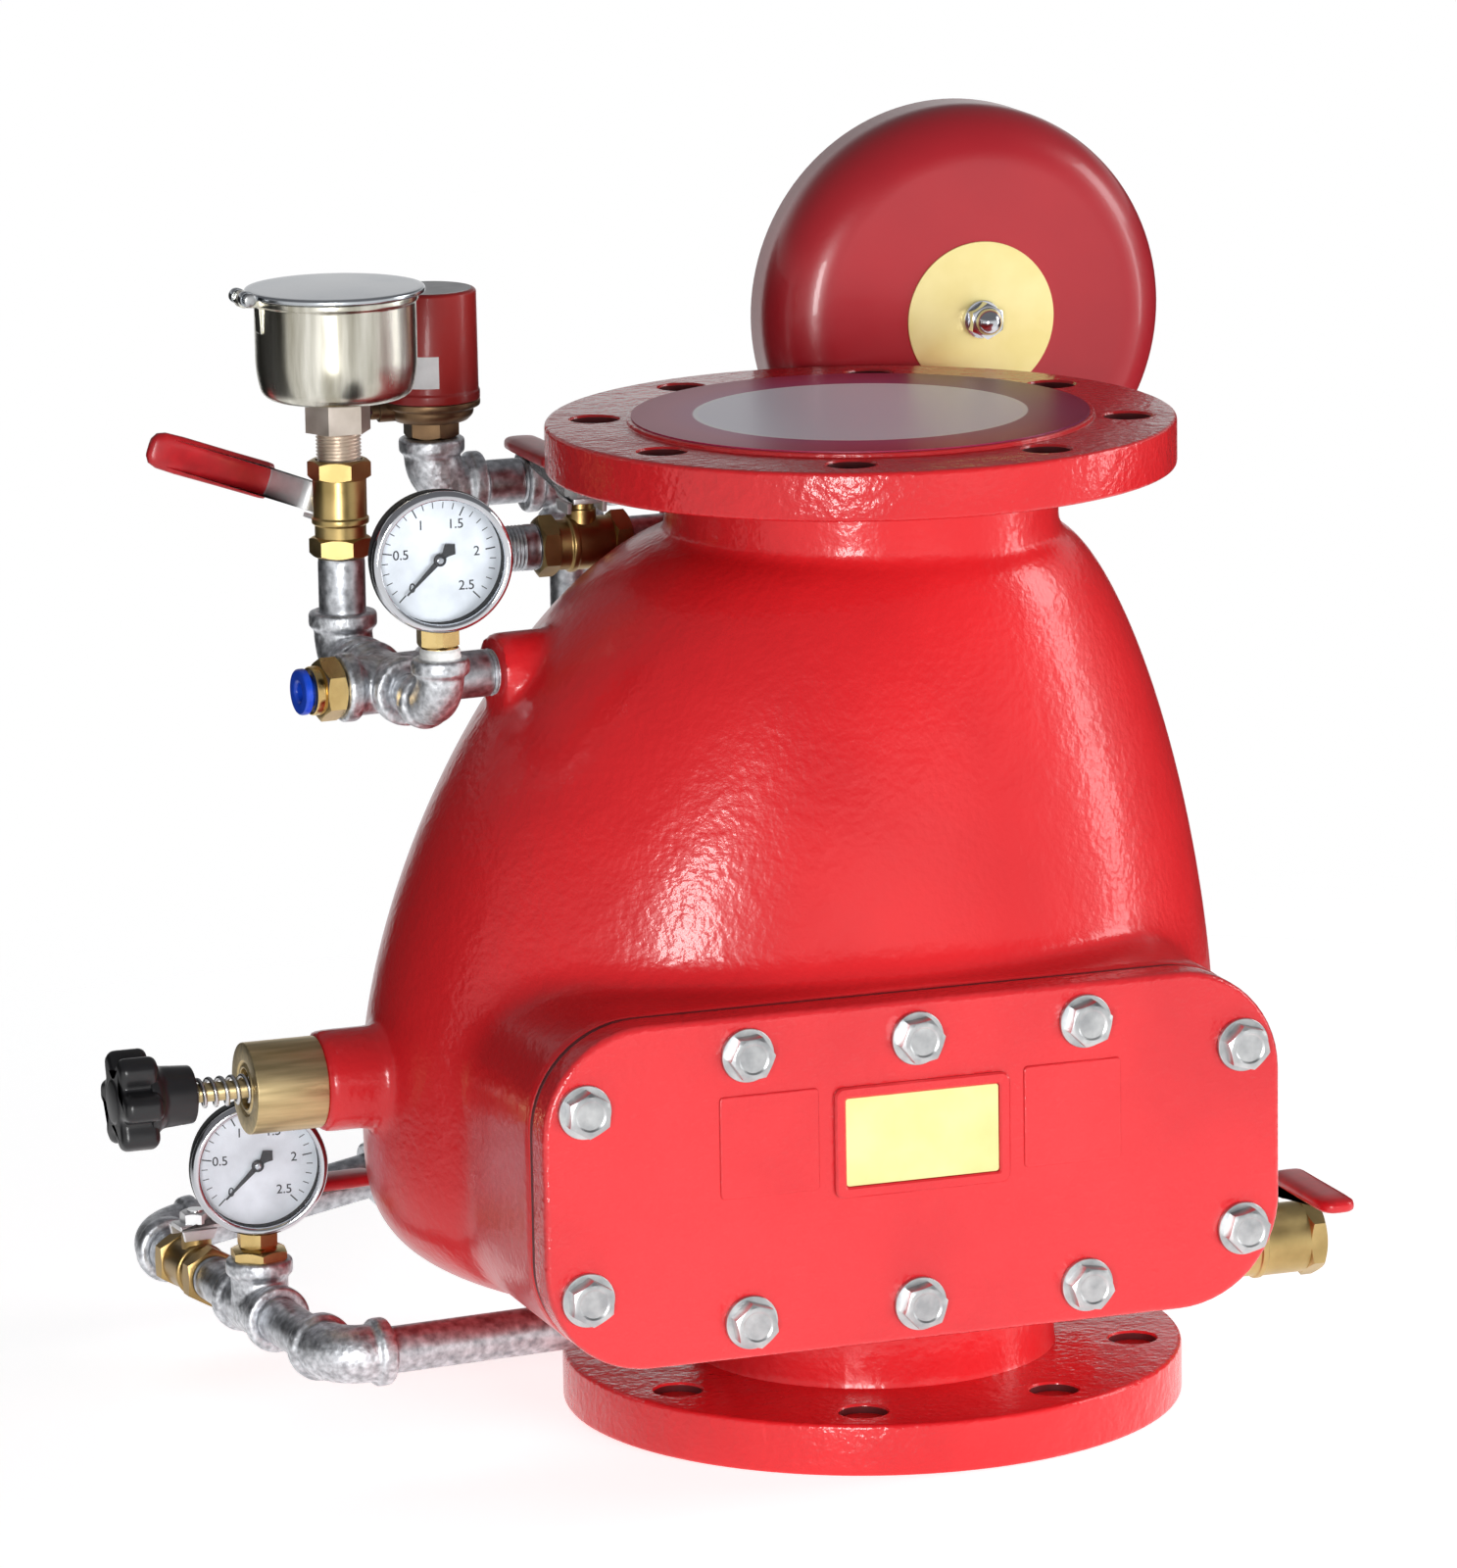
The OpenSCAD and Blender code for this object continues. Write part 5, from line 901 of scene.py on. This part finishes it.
air_gauge = air @ moved(CROSS_X, AIR_GAUGE_Y, 66) @ spun(-10, "Z")
supply_gauge = supply @ moved(LOOP_X, LOOP_TEE_Y, 68) @ spun(-13, "Z")
case = [(0, -12), (26, -12, 3), (29.9, -8, 2.5), (29.9, 2.6), (31.6, 2.8, 0.5), (31.6, 7.6), (29.9, 7.6), (28, 7.6),
        (28, 1), (0, 1)]
bezel = [(30, 7.7), (31.5, 7.7, 0.6), (31.5, 10, 2.0), (29.6, 12, 1.6), (27.6, 11.2, 0.6), (27.4, 9.6), (30, 9.6),
         (30, 7.7)]
tape = [(0, 21.4), (1.0, 22), (0.7, 23.6), (1.1, 24.6), (0.6, 26), (0.8, 27.2), (0, 28.5)]
gauge_looks = {
    "case": ("gauge_cases_pressed", case_black, "black_paint", ["gauge_cases"]),
    "bezel": ("gauge_bezels_chromed", chrome, "chrome", ["gauge_bezels"], 50),
    "dial": ("gauge_dials_white", dial_paint, "dial_white", ["gauge_dials"]),
    "ink": ("gauge_dial_marks", ink, "black_paint"),
    "glass": ("gauge_windows_glass", glass, "clear_glass", ["gauge_windows"]),
    "socket": ("gauge_sockets_brass", fitting_brass, "brass", ["gauge_sockets"]),
    "tape": ("gauge_thread_tape", tape_white, "dial_white"),
}
gauge_parts = {key: [] for key in gauge_looks}
for place, spigot in ((air_gauge, 8.3), (supply_gauge, 10.6)):
    face = place @ spun(90, "X")
    gauge_parts["case"].append(lathe(case, face, 72, 0.8))
    gauge_parts["bezel"].append(lathe(bezel, face, 96, 0.5, 4))
    gauge_parts["dial"].append(lathe([(0, 1.05), (27.8, 1.05), (27.8, 2.0), (0, 2.0)], face, 72))
    gauge_parts["glass"].append(lathe([(0, 8.1), (29.3, 8.1), (29.3, 9.5), (0, 9.5)], face, 72))
    stem = place @ moved(0, 0, -68)
    gauge_parts["socket"].append(hex_shape(17, 10.4, stem @ moved(0, 3.4, 28.6), both=True))
    gauge_parts["socket"].append(drum(spigot, 11.7, stem @ moved(0, 0, 17)))
    if spigot > 10:
        gauge_parts["socket"].append(hex_shape(24, 5.6, stem @ moved(0, 0, 23.2), both=True))
    gauge_parts["tape"].append(lathe([(spigot + d, z) for d, z in tape], stem, 32, 0.4))
    for k in range(TICKS + 1):
        w = math.radians(DIAL_START - DIAL_SWEEP * k / TICKS)
        long, half = (4.4, 0.3) if k % 5 == 0 else (2.8, 0.2)
        tick = face @ moved(*polar(TICK_R, w), 2.03) @ Matrix.Rotation(w, 4, "Z")
        gauge_parts["ink"].append(prism([(-long, -half), (0, -half), (0, half), (-long, half)], 0.05, tick))
    for k, text in enumerate(FIGURES):
        w = math.radians(DIAL_START - DIAL_SWEEP / (len(FIGURES) - 1) * k)
        gauge_parts["ink"].append(numeral(text, 6.0, face @ moved(*polar(FIGURE_R, w), 2.08)))
for key, (shown_name, *look) in gauge_looks.items():
    piece(shown_name, merged(*gauge_parts[key]), *look)

blade = [(-1.3, 0), (-0.35, -21), (0.35, -21), (1.3, 0), (1.5, 3.4), (3.3, 6.6), (0, 9.6), (-3.3, 6.6), (-1.5, 3.4)]
hub = [(0, 2.05), (0.8, 2.05), (0.8, 3.4), (2.8, 3.4), (2.8, 4.8, 0.5), (0, 5.2)]
hub_cap = [(0, 4.9), (1.5, 4.9), (1.5, 5.5, 0.3), (0, 5.7)]
for gauge_name, place in (("air", air_gauge), ("supply", supply_gauge)):
    face = place @ spun(90, "X")
    zero = face @ spun(-45, "Z")
    pointer = merged(prism(blade, 0.7, zero @ moved(0, 0, 3.6), 0.1), lathe(hub, zero, 32, 0.3))
    piece(f"{gauge_name}_gauge_pointer", pointer, ink, "black_paint", [f"{gauge_name}_gauge_needle"],
          body=f"{gauge_name}_needle")
    piece(f"{gauge_name}_gauge_pointer_cap", lathe(hub_cap, face, 24, 0.2), chrome, "black_paint",
          body=f"{gauge_name}_needle")

# Ball valves
# Hot-pressed brass bodies with a hexagon at each end, a chromed ball on a stem, and a bent steel lever under a nut with
# a dipped red vinyl grip. The filling and drain valves are bright; the vent and test valves have gone brown.
LEVER_W, LEVER_T = 13, 2.5
valve_brass = metal("valve_brass", (0.36, 0.26, 0.10), (0.58, 0.43, 0.185), 0.36, 45, 0.14, 0.0004)
old_brass = metal("old_brass", (0.25, 0.16, 0.06), (0.46, 0.32, 0.13), 0.36, 45, 0.18, 0.0005)
lever_steel = metal("lever_steel", (0.62, 0.62, 0.63), (0.84, 0.84, 0.84), 0.42, 80, 0.08, shine=0.8)
vinyl = rough("red_vinyl", (0.50, 0.012, 0.018), 0.30, 150, 0.12, 0.0003)


def valve_body(l, d, flats, place):
    """A barrel with a ring round it, a hexagon at each end and the stem's neck on top."""
    r, end = d / 2, l / 2 - 8
    barrel = [(0, -end), (r - 0.9, -end), (r - 0.9, -7.5), (r + 0.4, -7), (r + 0.4, -4.4), (r - 0.4, -4),
              (r - 0.4, end), (0, end)]
    neck = [(0, 0), (7.6, 0), (7, r + 1, 2), (7, r + 4, 0.5), (6, r + 4), (6, r + 7), (0, r + 7)]
    ends = [hex_shape(flats, 9, place @ along((sign, 0, 0), (sign * (l / 2 - 9), 0, 0)), both=True,
                      bore=10.7 if flats < 30 else 13.5) for sign in (-1, 1)]
    return merged(lathe(barrel, place @ along((1, 0, 0)), 48, 0.6), *ends, lathe(neck, place, 40, 0.6))


def lever_parts(l, d, rise, place, crank):
    """(lever and nut, grip) along the place's +X, above its stem; crank is where the bend starts and ends."""
    low, high = crank
    z = d / 2 + 7.3
    side = place @ moved(0, LEVER_W / 2, z) @ spun(90, "X")
    top = rise + LEVER_T
    strip = [(-10, 0), (low, 0, 4), (high, rise, 4), (l, rise), (l, top), (high - 1, top, 4), (low - 1, LEVER_T, 4),
             (-10, LEVER_T)]
    lever = [prism(eased(strip, 0.3, 4, True), LEVER_W, side, 0.5, 2)]
    for sign in (-1, 1):
        lever.append(prism([(-9, -4.3), (5, -4.3), (7, 0.6), (-10, 0.6)], 2.2,
                           side @ moved(0, 0, LEVER_W / 2 + sign * 8.5 - 1.1), 0.4, 2))
    lever.append(hex_shape(13, 5, place @ moved(0, 0, z + LEVER_T)))
    stations = [(high - 2.5, 0.80), (high - 1.5, 0.97), (high + 1, 1.0), (high + 22, 1.0), (l - 12, 1.02),
                (l - 3, 0.98), (l + 0.8, 0.82), (l + 2.6, 0.52), (l + 3, 0.2)]
    verts, n = [], 36
    for x, k in stations:
        for i in range(n):
            c, s = polar(1, 2 * math.pi * i / n)
            verts.append(place @ spot(x, 8.5 * k * math.copysign(abs(c) ** 0.62, c),
                                      z + rise + 1.25 + 3.5 * min(k, 1) * math.copysign(abs(s) ** 0.7, s)))
    return merged(*lever), (verts, banded(len(stations), n))


# Frame at the ball, length, barrel, hexagon; the lever's reach, rise, angle and crank; finish and slot
valve_stock = {
    "fill": (turned(air, 0, -90, -90, (CROSS_X, CUP_Y, 71)), 44, 25, 25, 74, 27, -70, (9, 18), valve_brass, "brass"),
    "vent": (moved(-100, 100, 387), 44, 25, 25, 88, 12, 90, (14, 30), old_brass, "bronze"),
    "test": (turned(supply, 0, 0, 90, (LOOP_X, 172, 0)), 44, 25, 25, 88, 12, -90, (14, 30), old_brass, "bronze"),
    "drain": (moved(196, 0, LOOP_Z), 52, 34, 33, 88, 12, -90, (14, 30), valve_brass, "brass"),
}
for name, (place, l, d, flats, reach, rise, angle, crank, finish, slot) in valve_stock.items():
    piece(f"{name}_valve_pressing", valve_body(l, d, flats, place), finish, slot, [f"{name}_valve_body"])
    lever, grip = lever_parts(reach, d, rise, place @ spun(angle, "Z"), crank)
    piece(f"{name}_valve_lever_bent", lever, lever_steel, "zinc_steel", [f"{name}_valve_lever"], body=f"{name}_handle")
    piece(f"{name}_valve_grip_dipped", grip, vinyl, "red_vinyl", [f"{name}_valve_grip"], 60, f"{name}_handle")

# Filling cup
# A spun steel cup with a yellow zinc finish and a flat lid on a side hinge, screwed on the filling valve by a hexagon
# adapter; turning marks run down the cup's wall.
HINGE_X, HINGE_Z = -44.5, 169.5
cup_steel = metal("cup_yellow_zinc", (0.36, 0.34, 0.27), (0.74, 0.72, 0.64), 0.24, 22, 0.05, 0.0002, 0.10, (6, 6, 0.5))
lid_steel = metal("lid_steel", (0.34, 0.36, 0.38), (0.54, 0.57, 0.60), 0.22, 30, 0.05)
adapter_steel = metal("adapter_nickel", (0.62, 0.54, 0.46), (0.82, 0.74, 0.66), 0.40, 60, 0.08)
cup = air @ moved(CROSS_X, CUP_Y, 0)
thread = [(0, 83), (10.2, 83)]
for k in range(14):
    thread += [(10.25, 84 + 1.6 * k), (9.3, 84.8 + 1.6 * k)]
thread += [(9.3, 107), (0, 107)]
piece("fill_adapter_turned", merged(lathe(thread, cup, 40), hex_shape(26, 14.4, turned(cup, 0, 0, 22, (0, 0, 105.6)))),
      adapter_steel, "bronze", ["fill_adapter"])


def hinge(y):
    """A frame on the lid's hinge axis, with local Z along it towards the front."""
    return cup @ moved(HINGE_X, y, HINGE_Z) @ spun(90, "X")


cup_wall = [(0, 120), (25, 120, 6), (33.6, 122.2, 7), (36.25, 134, 10), (36.25, 164.2, 1), (37.3, 165, 0.8),
            (37.3, 167.6, 0.8), (36, 168, 0.4), (34.7, 168, 0.4), (34.7, 134, 8), (32, 124, 5), (25, 122, 3), (0, 122)]
bracket = [(-3.2, -1.6), (-1.4, 3.0), (1.8, 3.0), (3.0, -1.5), (9.2, -1.5), (9.2, -17), (7.5, -17), (6.8, -5),
           (-1.4, -4.4)]
piece("fill_cup_spun", merged(lathe(cup_wall, cup, 96, 1.0, 5),
                              prism(eased(bracket, 0.9, 3, True), 6, hinge(3), 0.4, 2)),
      cup_steel, "bronze", ["fill_cup"])
lid = [(0, 168.3), (40.5, 168.3, 0.6), (40.5, 170.7, 1.2), (38, 170.9, 1), (0, 171.2)]
lid_parts = [lathe(lid, cup, 96, 0.5, 4)]
for sign in (-1, 1):
    ear = hinge(sign * 5.4 + 2)
    lid_parts.append(lathe([(0, 0), (3.5, 0), (3.5, 4), (0, 4)], ear, 32, 0.5))
    lid_parts.append(prism([(0, -1.1), (10, -1.1), (10, 1.1), (0, 1.1)], 4, ear, 0.3, 2))
piece("cup_lid_pressed", merged(*lid_parts), lid_steel, "chrome", ["cup_lid"], body="lid")
piece("cup_lid_screw", merged(
    lathe([(0, 0), (1.5, 0), (1.5, 18.8), (0, 18.8)], hinge(9.4), 24, 0.2),
    lathe([(0, 18.6), (3, 18.6), (3, 20.2, 0.8), (0, 20.8)], hinge(9.4), 32, 0.4)),
    zinc_metal, "zinc_steel", ["cup_lid_pin"])

# Pressure switch
# A brown cast base with a hexagon and a cable gland under a pressed can in red paint. The can carries two white
# stickers, one on its side and one on top.
CAN_R, CAN_LOW, CAN_TOP = 23.2, 441, 493
can_red = enamel("can_red", (0.24, 0.011, 0.010), (0.31, 0.016, 0.014), 0.36, 0.15, 0.05, 0.10)
base_bronze = metal("switch_bronze", (0.10, 0.06, 0.035), (0.24, 0.15, 0.08), 0.42, 70, 0.35, 0.0007)
sticker = painted("sticker_blank", (0.80, 0.80, 0.80), 0.5)
switch = moved(-138, 203, 0)
base = [(0, 431), (17, 431), (20, 434, 2), (20, 437), (CAN_R, 438, 1), (CAN_R, CAN_LOW, 0.8), (0, CAN_LOW)]
cable_gland = [(0, -8), (5, -8), (5, 6, 0.6), (3.6, 6), (3.6, 10, 1), (0, 10)]
piece("switch_base_cast", merged(
    drum(10.6, 8, switch @ moved(0, 0, 416)),
    hex_shape(23, 9, switch @ moved(0, 0, 423), both=True),
    lathe(base, switch, 64, 0.8),
    lathe(cable_gland, switch @ along((-1, 0, 0), (-20, 0, 436.5)), 32, 0.5)),
    base_bronze, "bronze", ["switch_base"])
can = [(0, CAN_LOW), (CAN_R, CAN_LOW, 0.8), (CAN_R, 445, 0.6), (22.6, 446), (22.3, 492, 1.6), (21, CAN_TOP, 0.6),
       (0, CAN_TOP)]
piece("switch_can_pressed", lathe(can, switch, 80, 0.8, 4), can_red, "dark_red_paint", ["switch_can"])
label, rows = [], 24
for k in range(rows + 1):
    w = math.radians(-146 + 49 * k / rows)
    label += [switch @ spot(*polar(22.62, w), 449), switch @ spot(*polar(22.52, w), 464)]
label_faces = [(2 * k, 2 * k + 2, 2 * k + 3, 2 * k + 1) for k in range(rows)]
piece("switch_side_sticker", (label, label_faces), sticker, "dial_white")
piece("switch_top_sticker", drum(20, 0.1, switch @ moved(0, 0, CAN_TOP + 0.05), 64), sticker, "dial_white")

# Water motor gong
# A pressed steel gong in smooth dark red enamel, held on the motor's spindle by an acorn nut over a round yellow plate.
# The motor's cast housing sits behind it and turns a two-armed striker inside the gong.
SPINDLE_R, GONG_BACK, GONG_FRONT = 5.1, 43, 46
SHOULDER_R, SHOULDER_Z = 71, 19.2
gong_red = enamel("gong_red", (0.30, 0.008, 0.015), (0.36, 0.012, 0.019), 0.32, 0.05, 0.02, 0.2, 0.5)
gong = moved(112, 183, 471) @ spun(90, "X")
shoulder = [math.pi / 2 * k / 14 for k in range(15)]
gong_inner = [(SHOULDER_R + 23.7 * math.cos(w), SHOULDER_Z + 23.7 * math.sin(w)) for w in reversed(shoulder)]
gong_outer = [(SHOULDER_R + 27 * math.cos(w), SHOULDER_Z + 26.4 * math.sin(w)) for w in shoulder]
gong_rim = [(94.7, 0.3), (95.2, -0.3), (97.2, -0.4), (98, 0.3)]
piece("gong_shell_pressed", lathe(
    [(SPINDLE_R, GONG_BACK), (40, GONG_BACK)] + gong_inner + gong_rim + gong_outer
    + [(56, 45.9), (40, GONG_FRONT), (SPINDLE_R, GONG_FRONT), (SPINDLE_R, GONG_BACK)], gong, 128),
    gong_red, "dark_red_paint", ["gong_shell"], 50)


def washer(r, low, top, edge, segments):
    profile = [(SPINDLE_R, low), (r, low), (r, top, edge), (SPINDLE_R, top), (SPINDLE_R, low)]
    return lathe(profile, gong, segments, 0.2)


piece("gong_plate_blank", washer(36.5, 46.05, 47, 0.3, 96), plate_metal, "brass", ["gong_plate"])
dome = [math.pi / 2 * k / 12 for k in range(13)]
piece("gong_nut_acorn", merged(
    washer(9, 47.05, 49, 0.5, 48),
    hex_shape(15, 7, gong @ moved(0, 0, 49), both=True),
    lathe([(6.6 * math.cos(w), 55.5 + 7.2 * math.sin(w)) for w in dome], gong, 40)),
    chrome, "zinc_steel", ["gong_nut"])

# Hidden works
# What stays inside the casting and behind the gong keeps its CAD form: clapper, seat, latch, balls, motor and rotor.
# Each takes a finish of its own material.
bronze_cast = metal("bronze_cast", (0.34, 0.22, 0.10), (0.52, 0.36, 0.18), 0.38, 50, 0.3, 0.0006)
gasket_rubber = rough("gasket_rubber", (0.02, 0.02, 0.02), 0.7)
ball_chrome = metal("ball_chrome", (0.75, 0.76, 0.78), (0.86, 0.86, 0.87), 0.12, 30, 0.03)
finishes = {
    "bronze": bronze_cast, "zinc_steel": zinc_metal, "rubber": gasket_rubber, "chrome": ball_chrome,
    "brass": fitting_brass, "dark_red_paint": gong_red}
slot_of = {entry["node"]: entry["material_slot"] for entry in frame["record"]["subparts"]}
for node in ("seat_ring", "pivot_pins", "clapper_disc", "clapper_facing", "clapper_clamp_plate", "latch_pawl",
             "fill_valve_ball", "vent_valve_ball", "test_valve_ball", "drain_valve_ball", "motor_housing",
             "motor_rotor"):
    for k in frame["nodes"][node].material_slots:
        k.material = finishes[slot_of[node]]
